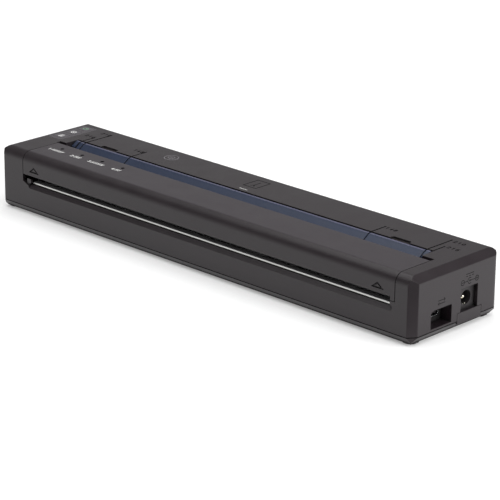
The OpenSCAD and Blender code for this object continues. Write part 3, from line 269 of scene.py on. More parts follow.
def plane_end(y, z):
    """The plane of the end face with the sockets, read from outside, centred on a point."""
    return (END, y, z), (0, 1, 0), (0, 0, 1)


def mark(name, strokes, width, rise, plane, body, finish):
    """A mark of several strokes, dressed and set on its body."""
    piece = solid(name, [bead(s, width, rise, plane) for s in strokes])
    piece.data.materials.append(finish)
    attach(piece, body)


# ---- finishes ------------------------------------------------------------------------------

CLOUD = 14 * MM             # how wide the faint clouds in a moulding's colour are
METAL_EDGE = 0.12 * MM      # radius that a metal edge shows after tumbling
TOOL_LINES = 0.12 * MM      # how far apart the lines of a metal's working lie
BAND = math.pi / 10         # the wave node's bands lie this far apart at a scale of 1
MOST = 0.3, 0.7             # nearly all of a noise lies between these
EDGE_RANGE = 0.985, 0.85          # cosine of an edge's rounding where wear and the painted highlight begin, and where they are full
OPEN = 0.88, 0.5            # share of open sky where painted shade begins, and where it is full
CLOUDED = 0.93, 1.07        # tones of a moulding against its colour: its clouds,
PITTED, PAINTED_SHADE = 0.8, 0.1    # its pits and the painted shade in its seams


def add(tree, kind, inputs=(), out=0, **settings):
    """Adds a node, makes its settings, links or fills its inputs, by name or in their order, and
    returns one of its outputs."""
    node = tree.nodes.new("ShaderNode" + kind)
    for name, value in settings.items():
        setattr(node, name, value)
    for name, value in inputs.items() if isinstance(inputs, dict) else enumerate(inputs):
        if isinstance(value, bpy.types.NodeSocket):
            tree.links.new(value, node.inputs[name])
        else:
            node.inputs[name].default_value = value
    return node.outputs[out]


def bare_material(name, **constants):
    """A new material: itself, its tree, its shader with constant inputs set, and Object
    coordinates."""
    material = bpy.data.materials.new(name)
    material.use_nodes = True
    tree = material.node_tree
    shader = tree.nodes["Principled BSDF"]
    for socket, value in constants.items():
        shader.inputs[socket.replace("_", " ")].default_value = value
    return material, tree, shader, add(tree, "TexCoord", out="Object")


def drive(shader, outputs):
    """Links outputs to a shader's sockets."""
    for socket, output in outputs.items():
        shader.id_data.links.new(output, shader.inputs[socket])


def shade(colour, share=1):
    """A linear colour made lighter or darker, with full alpha."""
    return tuple(min(1, share * c) for c in colour[:3]) + (1,)


def rubbed(tree, rounded):
    """How far each point is on an edge, from 0 to 1: how the rounded normal leaves the flat one."""
    flat = add(tree, "NewGeometry", out="Normal")
    alike = add(tree, "VectorMath", (rounded, flat), "Value", operation="DOT_PRODUCT")
    return add(tree, "MapRange", (alike, *EDGE_RANGE, 0, 1))


def facing(tree, axis):
    """How far the surface faces along an axis of its own piece, from -1 to 1, whatever pose it is
    in."""
    return add(tree, "SeparateXYZ", [add(tree, "TexCoord", out="Normal")], axis)


def crevices(tree, reach):
    """How deep each point lies in a seam or hole narrower than a reach, from 0 to 1: where shade is
    painted."""
    clear = add(tree, "AmbientOcclusion", {"Distance": reach}, "AO", samples=6)
    return add(tree, "MapRange", (clear, *OPEN, 0, 1))


def moulded(name, colour, roughness, grain, depth, gloss=0.5, edge=0.25 * MM, wear_and_highlight=1.25,
            land=None, reach=2 * MM):
    """A moulded plastic: pits of a grain and depth from the tool's skin, faint clouds, edges that
    are rounded and rubbed smoother, with wear and a painted highlight making them a little lighter,
    and painted shade, dull and dark, in its seams. A land highlight is a lighter colour painted on
    its level faces."""
    material, tree, shader, place = bare_material(name, Specular_IOR_Level=gloss)
    pits = add(tree, "TexNoise", {"Vector": place, "Scale": 1 / grain, "Detail": 2})
    cloud = add(tree, "TexNoise", {"Vector": place, "Scale": 1 / CLOUD, "Detail": 4})
    rounded = add(tree, "Bevel", [edge], samples=4)
    # the crevice share paints shade into seams and holes; the edge share gives edges wear and a
    # painted highlight
    worn_and_lit, crevice_shade = rubbed(tree, rounded), crevices(tree, reach)

    clouded = add(tree, "MapRange", (cloud, 0.35, 0.65, 0, 1))
    pitted = add(tree, "MapRange", (pits, *MOST, 0, 0.35))
    # colour layers: pits, edges lighter for wear and a painted highlight, painted shade in the
    # seams
    layers = [(pitted, shade(colour, PITTED)), (worn_and_lit, shade(colour, wear_and_highlight)),
              (crevice_shade, shade(colour, PAINTED_SHADE))]
    # painted top light: level faces get a lighter colour
    if land:
        level = add(tree, "MapRange", (facing(tree, "Z"), 0.97, 0.99, 0, 1))
        layers.insert(1, (level, shade(land)))
    low, high = (shade(colour, tone) for tone in CLOUDED)
    skin = add(tree, "Mix", {0: clouded, 6: low, 7: high}, 2, data_type="RGBA")
    for share, layer in layers:
        skin = add(tree, "Mix", {0: share, 6: skin, 7: layer}, 2, data_type="RGBA")

    rough = add(tree, "MapRange", (cloud, *MOST, roughness - 0.03, roughness + 0.04))
    for share, change in ((worn_and_lit, -0.08), (crevice_shade, 0.6)):
        more = add(tree, "MapRange", (share, 0, 1, 0, change))
        rough = add(tree, "Math", (rough, more), operation="ADD")
    drive(shader, {
        "Base Color": skin, "Roughness": rough,
        "Normal": add(tree, "Bump", {"Height": pits, "Distance": depth, "Normal": rounded})})
    return material


def worked_metal(name, colour, roughness, cut, depth):
    """A bare metal with the lines of its working: noise drawn out by a scale for each axis, so a
    bar extruded along X has a small X in cut and a turned pin a large one."""
    material, tree, shader, place = bare_material(name, Metallic=1)
    drawn = add(tree, "Mapping", {"Vector": place, "Scale": cut})
    lines = add(tree, "TexNoise", {"Vector": drawn, "Scale": 1 / TOOL_LINES, "Detail": 3})
    tarnish = add(tree, "TexNoise", {"Vector": place, "Scale": 1 / (6 * MM), "Detail": 4})
    dull = add(tree, "MapRange", (tarnish, 0.35, 0.7, 0, 1))
    rounded = add(tree, "Bevel", [METAL_EDGE], samples=4)
    drive(shader, {
        "Base Color": add(tree, "Mix", {0: dull, 6: shade(colour), 7: shade(colour, 0.82)}, 2,
                          data_type="RGBA"),
        "Roughness": add(tree, "MapRange", (lines, *MOST, roughness - 0.07, roughness + 0.09)),
        "Normal": add(tree, "Bump", {"Height": lines, "Distance": depth, "Normal": rounded})})
    return material


def polished_strip():
    """Stainless strip, rolled dull and dark, whose front edge is ground and polished along its
    length: one bright line in the slot, over a flat that stays grey."""
    material, tree, shader, place = bare_material("edge_polished_stainless")
    polished = add(tree, "MapRange", (facing(tree, "Y"), -0.5, -0.65, 0, 1))
    drawn = add(tree, "Mapping", {"Vector": place, "Scale": (0.02, 1, 1)})
    lines = add(tree, "TexNoise", {"Vector": drawn, "Scale": 1 / TOOL_LINES, "Detail": 3})
    tone = add(tree, "MapRange", (lines, *MOST, 0, 1))
    scale = linear("#7a797b")
    dull = add(tree, "Mix", {0: tone, 6: shade(scale, 0.9), 7: shade(scale, 1.1)}, 2,
               data_type="RGBA")
    drive(shader, {
        "Base Color": add(tree, "Mix", {0: polished, 6: dull, 7: shade(linear("#bcbcba"))}, 2,
                          data_type="RGBA"),
        "Metallic": polished,
        "Roughness": add(tree, "MapRange", (polished, 0, 1, 0.6, 0.3)),
        "Normal": add(tree, "Bump", {"Height": lines, "Distance": 0.002 * MM})})
    return material


def zinc_plate(name, colour, roughness):
    """Zinc plate on steel: flat crystals a few millimetres across, each a little lighter or
    darker."""
    material, tree, shader, place = bare_material(name, Metallic=1)
    crystal = add(tree, "TexVoronoi", {"Vector": place, "Scale": 1 / (2.2 * MM)}, "Color")
    tone = add(tree, "SeparateColor", [crystal])
    haze = add(tree, "TexNoise", {"Vector": place, "Scale": 1 / (0.3 * MM), "Detail": 3})
    rounded = add(tree, "Bevel", [METAL_EDGE], samples=4)
    drive(shader, {
        "Base Color": add(tree, "Mix", {0: tone, 6: shade(colour, 0.88), 7: shade(colour, 1.06)}, 2,
                          data_type="RGBA"),
        "Roughness": add(tree, "MapRange", (haze, *MOST, roughness - 0.05, roughness + 0.08)),
        "Normal": add(tree, "Bump", {"Height": haze, "Distance": 0.004 * MM, "Normal": rounded})})
    return material


def solder_mask():
    """Glass-epoxy board under green solder mask: tracks show as a lighter green, plated holes as
    small tin dots, and the sawn edge shows the yellowish glass cloth. The tracks are drawn 0.8 mm
    wide and 2.4 mm apart, coarser than real ones, so that they show."""
    material, tree, shader, place = bare_material("solder_masked_board", Coat_Weight=0.3,
                                                  Coat_Roughness=0.15)
    wander = {"Vector": place, "Scale": 1 / (7 * MM), "Detail": 1}
    bend = add(tree, "VectorMath", (add(tree, "TexNoise", wander, "Color"), (0.006, 0.006, 0)),
               operation="MULTIPLY")
    routed = add(tree, "VectorMath", (place, bend), operation="ADD")
    waves = add(tree, "TexWave", {"Vector": routed, "Scale": BAND / (2.3687 * MM)}, "Fac")
    track = add(tree, "MapRange", (waves, 0.72, 0.8, 0, 1))
    hole = add(tree, "TexVoronoi", {"Vector": place, "Scale": 1 / (3 * MM)}, "Distance")
    via = add(tree, "MapRange", (hole, 0.13, 0.1, 0, 1))
    level = add(tree, "Math", [facing(tree, "Z")], operation="ABSOLUTE")
    face = add(tree, "MapRange", (level, 0.4, 0.6, 0, 1))
    mask = shade(linear("#12402a"))
    for share, layer in ((track, shade(linear("#1f6140"))), (via, shade(linear("#b9b7ae")))):
        mask = add(tree, "Mix", {0: share, 6: mask, 7: layer}, 2, data_type="RGBA")
    drive(shader, {
        "Base Color": add(tree, "Mix", {0: face, 6: shade(linear("#8c8a4e")), 7: mask}, 2,
                          data_type="RGBA"),
        "Roughness": add(tree, "MapRange", (via, 0, 1, 0.35, 0.25)),
        "Normal": add(tree, "Bump", {"Height": track, "Distance": 0.03 * MM})})
    return material


def shrink_sleeve(name, colour):
    """Shrunk PVC sleeve: glossy, with soft ripples where it drew in round the ends."""
    material, tree, shader, place = bare_material(name, Coat_Weight=0.25, Coat_Roughness=0.08)
    drawn = add(tree, "Mapping", {"Vector": place, "Scale": (0.25, 1, 1)})
    ripple = add(tree, "TexNoise", {"Vector": drawn, "Scale": 1 / (3 * MM), "Detail": 2})
    drive(shader, {
        "Base Color": add(tree, "Mix", {0: ripple, 6: shade(colour, 0.85), 7: shade(colour, 1.15)},
                          2, data_type="RGBA"),
        "Roughness": add(tree, "MapRange", (ripple, *MOST, 0.22, 0.34)),
        "Normal": add(tree, "Bump", {"Height": ripple, "Distance": 0.12 * MM})})
    return material


def film_cable():
    """Polyimide film over copper: amber, with copper tracks that show through. They are drawn 2 mm
    apart, coarser than real ones, so that they show."""
    material, tree, shader, place = bare_material("polyimide_film", Coat_Weight=0.4,
                                                  Coat_Roughness=0.1)
    tracks = add(tree, "TexWave", {"Vector": place, "Scale": BAND / (1.9739 * MM)}, "Fac")
    speck = add(tree, "TexNoise", {"Vector": place, "Scale": 1 / (0.5 * MM), "Detail": 2})
    amber = shade(linear("#a8701f"))
    for share, layer in ((add(tree, "MapRange", (tracks, 0.45, 0.55, 0, 1)), "#c99039"),
                         (add(tree, "MapRange", (speck, 0.4, 0.8, 0, 0.3)), "#7b4f17")):
        amber = add(tree, "Mix", {0: share, 6: amber, 7: shade(linear(layer))}, 2,
                    data_type="RGBA")
    drive(shader, {
        "Base Color": amber,
        "Roughness": add(tree, "MapRange", (speck, *MOST, 0.25, 0.35)),
        "Normal": add(tree, "Bump", {"Height": tracks, "Distance": 0.03 * MM})})
    return material


def ground_rubber():
    """Nitrile rubber ground on a mandrel: dead matt, black-grey, with rings 0.15 mm apart round
    its axis."""
    material, tree, shader, place = bare_material("ground_nitrile_rubber", Specular_IOR_Level=0.35)
    drawn = add(tree, "Mapping", {"Vector": place, "Scale": (1, 0.1, 0.1)})
    rings = add(tree, "TexNoise", {"Vector": drawn, "Scale": 1 / (0.15 * MM), "Detail": 2})
    dust = add(tree, "TexNoise", {"Vector": place, "Scale": 1 / (4 * MM), "Detail": 5})
    dusty = add(tree, "MapRange", (dust, 0.45, 0.75, 0, 0.6))
    black, grey = shade(linear("#1f1f20")), shade(linear("#353536"))
    drive(shader, {
        "Base Color": add(tree, "Mix", {0: dusty, 6: black, 7: grey}, 2, data_type="RGBA"),
        "Roughness": add(tree, "MapRange", (rings, *MOST, 0.72, 0.9)),
        "Normal": add(tree, "Bump", {"Height": rings, "Distance": 0.02 * MM})})
    return material


def smooth_body(name, colour, roughness, **constants):
    """A clear, glazed or printed body: a nearly even colour with a faint mottle and a smooth
    skin."""
    material, tree, shader, place = bare_material(name, **constants)
    mottle = add(tree, "TexNoise", {"Vector": place, "Scale": 1 / (0.8 * MM), "Detail": 3})
    drive(shader, {
        "Base Color": add(tree, "Mix", {0: mottle, 6: shade(colour, 0.94), 7: shade(colour, 1.05)},
                          2, data_type="RGBA"),
        "Roughness": add(tree, "MapRange", (mottle, *MOST, roughness - 0.04, roughness + 0.05)),
        "Normal": add(tree, "Bump", {"Height": mottle, "Distance": 0.004 * MM})})
    return material


def ink(name, colour):
    """Pad-printed ink: opaque, half matt, with the slightly uneven skin of a stamped film."""
    return smooth_body(name, colour, 0.5)


def dress(slot, material):
    """Gives a material to every CAD node of one of the record's material slots."""
    nodes = [s["node"] for s in frame["record"]["subparts"] if s["material_slot"] == slot]
    if not nodes:
        raise RuntimeError(f"no node has the material slot {slot}")
    for node in nodes:
        mesh = frame["nodes"][node].data
        mesh.materials.clear()
        mesh.materials.append(material)


# ---- operators -----------------------------------------------------------------------------

class PRINTER_OT_mouldings(bpy.types.Operator):
    """Case, cover, door, key panel, keys and feed guide: moulded ABS in black and navy"""
    bl_idname = "printer.mouldings"
    bl_label = "Mouldings"

    def execute(self, context):
        c = context.scene.printer_colours
        # spark-eroded tool skin: even, pitted, half matt
        skin = dict(roughness=0.34, grain=0.28 * MM, depth=0.025 * MM, gloss=0.42,
                    edge=0.12 * MM, wear_and_highlight=1.1)
        dress("case_plastic", moulded("spark_textured_abs", c.case, **skin))
        # the cover's level face is painted a shade lighter, as painted top light
        cover = frame["nodes"]["release_cover"].data
        cover.materials[0] = moulded("lit_top_textured_abs", c.case, land=c.cover_top_highlight, **skin)
        # finer skin, a little duller than the case
        dress("panel_plastic", moulded("satin_abs_panel", c.panel, 0.42, 0.15 * MM, 0.02 * MM,
                                       gloss=0.45))
        dress("key_plastic", moulded("satin_abs_keys", c.keys, 0.38, 0.12 * MM, 0.015 * MM,
                                     gloss=0.45))
        # the guide's ramp is kept smooth for the paper, so it has the strongest sheen; its level
        # rear flat gets a painted highlight in lilac, and its edges are painted much lighter as a
        # highlight
        dress("guide_plastic", moulded("satin_navy_abs", c.guide, 0.36, 0.2 * MM, 0.02 * MM,
                                       wear_and_highlight=1.6, land=c.land))
        # glass-filled polycarbonate: dark, dull, with painted shade reaching 5 mm into its holes
        dress("black_plastic", moulded("filled_polycarbonate", linear("#211c1f"), 0.4, 0.2 * MM,
                                       0.03 * MM, reach=5 * MM))
        return {"FINISHED"}


class PRINTER_OT_gears(bpy.types.Operator):
    """Gears and bearings in natural acetal, the brass pinion, the springs"""
    bl_idname = "printer.gears"
    bl_label = "Gears"

    def execute(self, context):
        # acetal: waxy off-white
        acetal = dict(grain=0.3 * MM, depth=0.01 * MM, wear_and_highlight=1.1)
        dress("gear_plastic", moulded("natural_acetal", linear("#cfcabd"), 0.38, **acetal))
        dress("bearing_plastic", moulded("bearing_acetal", linear("#bdb5a2"), 0.42, **acetal))
        # turned brass: warm yellow with fine turning rings across the axis
        dress("brass", worked_metal("turned_brass", linear("#c9a24e"), 0.28, (1, 0.08, 0.08),
                                    0.006 * MM))
        # drawn spring wire: grey, smooth along its length
        dress("spring_steel", worked_metal("drawn_spring_wire", linear("#8d8f92"), 0.3,
                                           (1, 1, 0.4), 0.004 * MM))
        return {"FINISHED"}


class PRINTER_OT_rubber(bpy.types.Operator):
    """Platen sleeve and feet in black rubber"""
    bl_idname = "printer.rubber"
    bl_label = "Rubber"

    def execute(self, context):
        dress("rubber", ground_rubber())
        return {"FINISHED"}


class PRINTER_OT_metal(bpy.types.Operator):
    """Frame, shafts, screws, motor can, tear bar and heat sink"""
    bl_idname = "printer.metal"
    bl_label = "Metal"

    def execute(self, context):
        # centreless-ground steel: bright with fine rings
        dress("steel", worked_metal("ground_steel", linear("#c4c6c8"), 0.22, (1, 0.1, 0.1),
                                    0.003 * MM))
        dress("sheet_steel", zinc_plate("zinc_plated_sheet", linear("#a9adb0"), 0.36))
        dress("motor_steel", zinc_plate("zinc_plated_can", linear("#9a9da0"), 0.32))
        # black zinc: dark metal with a faint sheen
        dress("screw_steel", worked_metal("black_zinc_screws", linear("#3a3a3e"), 0.38, (1, 1, 1),
                                          0.004 * MM))
        dress("blade_steel", polished_strip())
        # extruded aluminium: long die lines
        dress("aluminium", worked_metal("extruded_aluminium", linear("#c2c4c7"), 0.34,
                                        (0.02, 1, 1), 0.01 * MM))
        return {"FINISHED"}


class PRINTER_OT_electronics(bpy.types.Operator):
    """Boards, connectors, capacitors, cable, lights and the head's ceramic"""
    bl_idname = "printer.electronics"
    bl_label = "Electronics"

    def execute(self, context):
        dress("circuit_board", solder_mask())
        # natural nylon: cream, slightly waxy
        dress("connector_plastic", moulded("natural_nylon", linear("#c9c0a6"), 0.45, 0.2 * MM,
                                           0.01 * MM, wear_and_highlight=1.1))
        dress("capacitor_sleeve", shrink_sleeve("capacitor_sleeve", linear("#1a2240")))
        dress("flat_cable", film_cable())
        # smoked polycarbonate: almost black until its lamp is on, sanded flush with the cover
        dress("light_pipe", smooth_body("smoked_polycarbonate", linear("#060607"), 0.6,
                                        Specular_IOR_Level=0.0))
        # clear resin over a pale lamp: small sharp lights
        dress("led_resin", smooth_body("lamp_resin", linear("#d8d2a8"), 0.14, Coat_Weight=0.5,
                                       Coat_Roughness=0.05))
        # glazed alumina: hard, white, glassy
        dress("ceramic", smooth_body("glazed_alumina", linear("#e4e0d6"), 0.16, Coat_Weight=0.7,
                                     Coat_Roughness=0.04))
        return {"FINISHED"}


class PRINTER_OT_inlet_contacts(bpy.types.Operator):
    """Domed end of the power inlet's pin and the leaf contact in the bottom of its bore"""
    bl_idname = "printer.inlet_contacts"
    bl_label = "Inlet contacts"

    PIN_INSET = 0.02 * MM                   # how much slimmer than the pin its bright end is
    PIN_OVERLAP, PIN_PROUD = 0.5 * MM, 0.5 * MM     # how far it reaches into the pin and beyond
    LEAF = 2.95 * MM, 3.1 * MM              # radii of the leaf's two faces
    LEAF_ENDS = 4 * MM, 0.6 * MM            # its ends, behind the inlet's face
    LEAF_SWEEP = 200, 290                   # degrees that it covers at the bottom of the bore

    def execute(self, context):
        # bright nickel plate: nearly white, with small sharp lights
        nickel = worked_metal("bright_nickel_plate", linear("#e6e1d3"), 0.2, (1, 0.1, 0.1),
                              0.002 * MM)
        low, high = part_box("dc_jack_pin")
        centre = (low.y + high.y) / 2, (low.z + high.z) / 2
        r = (high.z - low.z) / 2 - self.PIN_INSET
        root, shoulder = high.x - self.PIN_OVERLAP, high.x + self.PIN_PROUD
        # the dome: its radius times the sine ahead and the cosine out
        dome = np.radians(np.linspace(0, 90, 8))
        profile = [(root, 0), (root, r)] + [(shoulder + r * math.sin(a), r * math.cos(a))
                                            for a in dome]
        round_pin = turned(profile, centre, np.arange(0, 360, 15))
        pin = solid("inlet_pin_end", [(round_pin, True, False)])

        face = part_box("dc_jack")[1].x
        inner, outer = self.LEAF
        deep, near = (face - back for back in self.LEAF_ENDS)
        leaf = [(deep, inner), (near, inner), (near, outer), (deep, outer)]
        sweep = turned(leaf, centre, np.linspace(*self.LEAF_SWEEP, 14))
        caps = [np.repeat(end.mean(0)[None, None], len(leaf), 1) for end in (sweep[0], sweep[-1])]
        closed_sweep = np.concatenate([caps[0], sweep, caps[1]])
        contact = solid("inlet_leaf_contact", [(closed_sweep, False, True)])
        for piece in (pin, contact):
            piece.data.materials.append(nickel)
            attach(piece, "case")
        return {"FINISHED"}


class PRINTER_OT_battery(bpy.types.Operator):
    """Battery cells and their sleeve"""
    bl_idname = "printer.battery"
    bl_label = "Battery"

    def execute(self, context):
        dress("battery_wrap", shrink_sleeve("black_pack_sleeve", linear("#2a2b30")))
        dress("cell_wrap", shrink_sleeve("blue_cell_sleeve", linear("#2f6f94")))
        return {"FINISHED"}


class PRINTER_OT_status_marks(bpy.types.Operator):
    """Numerals in front of the four status lights, each with a row of slanted ticks"""
    bl_idname = "printer.status_marks"
    bl_label = "Status marks"

    SPANS = (-107.2, 10.2), (-91.8, 7.0), (-79.8, 10.3), (-63.8, 5.2)   # start and length in mm
    ROW = -15.3 * MM                        # foot of the marks
    FIRST, STEP, MARGIN = 2.2, 1.15, 0.6    # first tick, its step and the bare end, in mm
    LEAN = 0.3                              # slant of a tick, in heights
    BOLD = 1.3                              # these strokes against the usual print

    def execute(self, context):
        c, m = context.scene.printer_colours, context.scene.printer_marks
        white = ink("white_ink", c.ink)
        for i, (x, run) in enumerate(self.SPANS):
            ticks = np.arange(self.FIRST, run - self.MARGIN, self.STEP) * MM
            strokes = number(str(i + 1), m.numeral)
            strokes += [np.array([(t, 0), (t + self.LEAN * m.numeral, m.numeral)]) for t in ticks]
            mark(f"status_mark_{i + 1}", strokes, self.BOLD * m.stroke, m.ink_rise,
                 plane_top(x * MM, self.ROW), "cover", white)
        return {"FINISHED"}


class PRINTER_OT_key_legends(bpy.types.Operator):
    """Legends of the keys: a sheet with an arrow, a ring with a cross, and a green power sign"""
    bl_idname = "printer.key_legends"
    bl_label = "Key legends"

    def execute(self, context):
        c, m = context.scene.printer_colours, context.scene.printer_marks
        white, green = ink("legend_ink", c.ink), ink("green_ink", c.ready)
        # in half widths of a legend
        sheet = ([(-0.7, -1), (-0.7, 1), (0.7, 1), (0.7, -1), (-0.7, -1)], [(0, 0.55), (0, -0.5)],
                 [(-0.35, -0.1), (0, -0.5), (0.35, -0.1)])
        cross = ring(0, 0, 1), [(-0.4, -0.4), (0.4, 0.4)], [(-0.4, 0.4), (0.4, -0.4)]
        power = arc(0, 0, 1, 1, 125, 415, 22), [(0, 0.2), (0, 1.1)]
        # every key stands on a wider flange, so its face is centred on its switch
        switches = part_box("key_switches")
        x = switches[0].x / 2 + switches[1].x / 2
        for node, body, strokes, paint in (("front_key", "key_front", sheet, white),
                                           ("middle_key", "key_middle", cross, white),
                                           ("power_key", "key_power", power, green)):
            low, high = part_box(node)
            mark(node + "_legend", [np.asarray(s) * m.legend / 2 for s in strokes], m.stroke,
                 m.ink_rise, plane_top(x, (low.y + high.y) / 2), body, paint)
        return {"FINISHED"}


class PRINTER_OT_case_marks(bpy.types.Operator):
    """Marks on the case: the date ring and sheet line in print, and the sheet sign, paper widths
    and socket signs as painted shade of moulded marks
    """
    bl_idname = "printer.case_marks"
    bl_label = "Case marks"

    DATE_RING = -56.8 * MM, 16.4 * MM       # places on the top, as x and y
    SHEET_SIGN = -1.4 * MM, 16 * MM
    SHEET_LINE = 0, 7 * MM
    # the paper's width in millimetres, at the rear end of the line that marks it: text, x and y
    WIDTHS = {"left": (("148", -77.4, 11.5), ("210", -107.6, 18.6), ("216", -110.8, 11.3)),
              "right": (("148", 78.4, 11.7), ("210", 109.9, 18.5), ("216", 112.4, 11.3))}
    WIDTH_STEP = 1.2                        # from numeral to numeral, in heights
    POWER_SIGN = 8.75 * MM, 20.2 * MM       # places on the end face, as y and z
    CURRENT_SIGN = 8.75 * MM, 22.9 * MM
    DATA_SIGN = -9.1 * MM, 15.9 * MM
    FINE, BROAD, HEAVY = 0.24 * MM, 0.48 * MM, 0.55 * MM    # widths of stroke on the top
    LINE_STROKE = 0.35 * MM

    def execute(self, context):
        c, m = context.scene.printer_colours, context.scene.printer_marks
        # painted shade of moulded marks: matt inks with next to no sheen, so that they stay dark at
        # a grazing view
        black = smooth_body("painted_deboss_shade", c.deboss_shade, 0.8, Specular_IOR_Level=0.0)
        faint = smooth_body("painted_faint_deboss_shade", c.faint_deboss_shade, 0.7, Specular_IOR_Level=0.1)

        # a mark on the case: the date ring is print, the other marks here are painted shade
        def printed(name, strokes, plane, width, paint):
            mark(name, strokes, width, m.ink_rise, plane, "case", paint)

        # an outer and an inner ring, and a hand
        dial = mm(ring(0, 0, 3.4, 36), ring(0, 0, 1.6), [(0, -0.8), (0, 0.8)])
        printed("date_ring", dial, plane_top(*self.DATE_RING), self.FINE,
                smooth_body("pale_ink", c.pale_ink, 0.6))
        # a sheet with a forked line up its middle
        sheet = mm([(-3.8, -4.8), (-3.8, 4.8), (3.8, 4.8), (3.8, -4.8), (-3.8, -4.8)],
                   [(-1, -3), (0, -1.8), (1, -3)], [(0, -1.8), (0, 2.4)])
        printed("sheet_sign", sheet, plane_top(*self.SHEET_SIGN), self.HEAVY, faint)
        for side, spots in self.WIDTHS.items():
            for width, x, y in spots:
                printed(f"width_{width}_{side}", number(width, m.width_numeral, self.WIDTH_STEP),
                        plane_top(x * MM, y * MM), self.BROAD, black)

        # the pole signs: minus in its ring, the plug with its tip, plus in its ring
        poles = mm(ring(-4.6, 0, 1.1), [(-5.2, 0), (-4.0, 0)], [(-3.5, 0), (-1.4, 0)],
                   arc(0, 0, 1.3, 1.3, 55, 305, 16), ring(0, 0, 0.3, 10), [(0.3, 0), (3.5, 0)],
                   ring(4.6, 0, 1.1), [(4.0, 0), (5.2, 0)], [(4.6, -0.6), (4.6, 0.6)])
        # direct current: a whole line over a broken one
        current = mm([(-2.4, 0.5), (2.4, 0.5)],
                     *([(x - 0.5, -0.5), (x + 0.5, -0.5)] for x in (-1.9, 0, 1.9)))
        # data: one arrow each way
        data = mm([(-2.2, 0.5), (2.2, 0.5)], [(1.6, 1.1), (2.2, 0.5), (1.6, -0.1)],
                  [(-2.2, -0.9), (2.2, -0.9)], [(-1.6, -1.5), (-2.2, -0.9), (-1.6, -0.3)])
        for name, strokes, spot in (("power_sign", poles, self.POWER_SIGN),
                                    ("current_sign", current, self.CURRENT_SIGN),
                                    ("data_sign", data, self.DATA_SIGN)):
            printed(name, strokes, plane_end(*spot), m.sign_stroke, faint)

        mark("sheet_line", mm([(-3.3, 0), (1.1, 0)]), self.LINE_STROKE, m.ink_rise,
             plane_top(*self.SHEET_LINE), "case", ink("sheet_line_ink", c.ink))
        return {"FINISHED"}


class PRINTER_OT_head_details(bpy.types.Operator):
    """On the head's ceramic strip: its heater line, and the resin over its chips"""
    bl_idname = "printer.head_details"
    bl_label = "Head details"

    RIDGE_Y = -15 * MM                      # where the raised glaze runs
    RIDGE_RISE = 0.3 * MM                   # how far it stands over the strip
    RESIN_GAP = 2.9 * MM                    # from the heater line forward to the resin's middle
    MARGIN = 3 * MM                         # bare strip at each end
    HEATER = 0.25 * MM, 0.01 * MM           # width and rise
    RESIN = 2.2 * MM, 0.3 * MM

    def execute(self, context):
        low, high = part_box("head_strip")
        reach = (high.x - low.x) / 2 - self.MARGIN
        middle = (low.x + high.x) / 2

        def along(name, y, z, width, rise, finish):
            plane = (middle, y, z), (1, 0, 0), (0, 1, 0)
            piece = solid(name, [bead([(-reach, 0), (reach, 0)], width, rise, plane)])
            piece.data.materials.append(finish)
            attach(piece, "head")

        # the heater line: a dark resistor film under the glaze, straight along the ridge
        along("heater_line", self.RIDGE_Y, high.z, *self.HEATER,
              smooth_body("resistor_film", linear("#3b2a1d"), 0.2))
        # potting resin over the driver chips: black, glossy, drawn down at its ends
        along("driver_resin", self.RIDGE_Y - self.RESIN_GAP, high.z - self.RIDGE_RISE, *self.RESIN,
              smooth_body("potting_resin", linear("#101012"), 0.18, Coat_Weight=0.4,
                          Coat_Roughness=0.05))
        return {"FINISHED"}


# ---- stage ---------------------------------------------------------------------------------

FLOOR_REACH = 4.0                           # metres from the middle to each edge
FLOOR_LIFT = 0.26                           # light that makes the paper white to the eye
CARD_X, CARD_Y = (0.12, 0.14), (-0.02, -0.04)   # where the grey card's two soft edges lie
WALLS = 0.0, 0.4, 0.9, 0.22                 # rise of a reflected ray from, to; brightness at each
DIFFUSE = 0.5                               # brightness of the surroundings as a light
# a low lamp that lights the end with the sockets, and a wide sheet of light overhead:
# name, place in metres, width in metres, power in watts
LAMPS = (("soft_right", (1.1, 0.2, 0.4), 0.7, 8.0), ("soft_top", (0.0, 0.0, 1.1), 1.7, 16.0))
SENSOR = 36                                 # millimetres, which the fitted lens belongs to
CLIP = 0.01, 20                             # metres that the camera sees between


def stand(holder, right, ahead, place):
    """Puts a lamp or camera at a place, looking ahead with its right side to the right."""
    turn = np.eye(4)
    turn[:3, 0], turn[:3, 1] = right, np.cross(right, ahead)
    turn[:3, 2], turn[:3, 3] = -np.asarray(ahead), place
    holder.matrix_world = Matrix(turn.tolist())


def pale_paper():
    """Matt white paper: soft even grey in the shadow, white elsewhere, with a faint fibre."""
    material, tree, shader, place = bare_material("pale_paper", Roughness=0.9,
                                                  Specular_IOR_Level=0.1)
    fibre = add(tree, "TexNoise", {"Vector": place, "Scale": 1 / (2 * MM), "Detail": 4})
    pale = add(tree, "Mix", {0: fibre, 6: shade(linear("#d6d6d6")), 7: shade(linear("#dcdcdc"))}, 2,
               data_type="RGBA")
    mirrored = add(tree, "LightPath", out="Is Glossy Ray")
    # a grey card before the front right corner, seen in reflections alone, darkens the bevel there
    card = mirrored
    for axis, (clear, full) in (("X", CARD_X), ("Y", CARD_Y)):
        beyond = add(tree, "MapRange", (add(tree, "SeparateXYZ", [place], axis), clear, full, 0, 1))
        card = add(tree, "Math", (card, beyond), operation="MULTIPLY")
    # seen by the camera, through clear pieces and in reflections the paper is lifted to white;
    # its shadows stay
    seen = mirrored
    for ray in ("Is Camera Ray", "Is Transmission Ray"):
        seen = add(tree, "Math", (seen, add(tree, "LightPath", out=ray)), operation="MAXIMUM")
    seen = add(tree, "Math", (seen, card), operation="SUBTRACT")
    shader.inputs["Emission Color"].default_value = (1, 1, 1, 1)
    drive(shader, {
        "Base Color": add(tree, "Mix", {0: card, 6: pale, 7: shade(linear("#898989"))}, 2,
                          data_type="RGBA"),
        "Emission Strength": add(tree, "MapRange", (seen, 0, 1, 0, FLOOR_LIFT))})
    return material


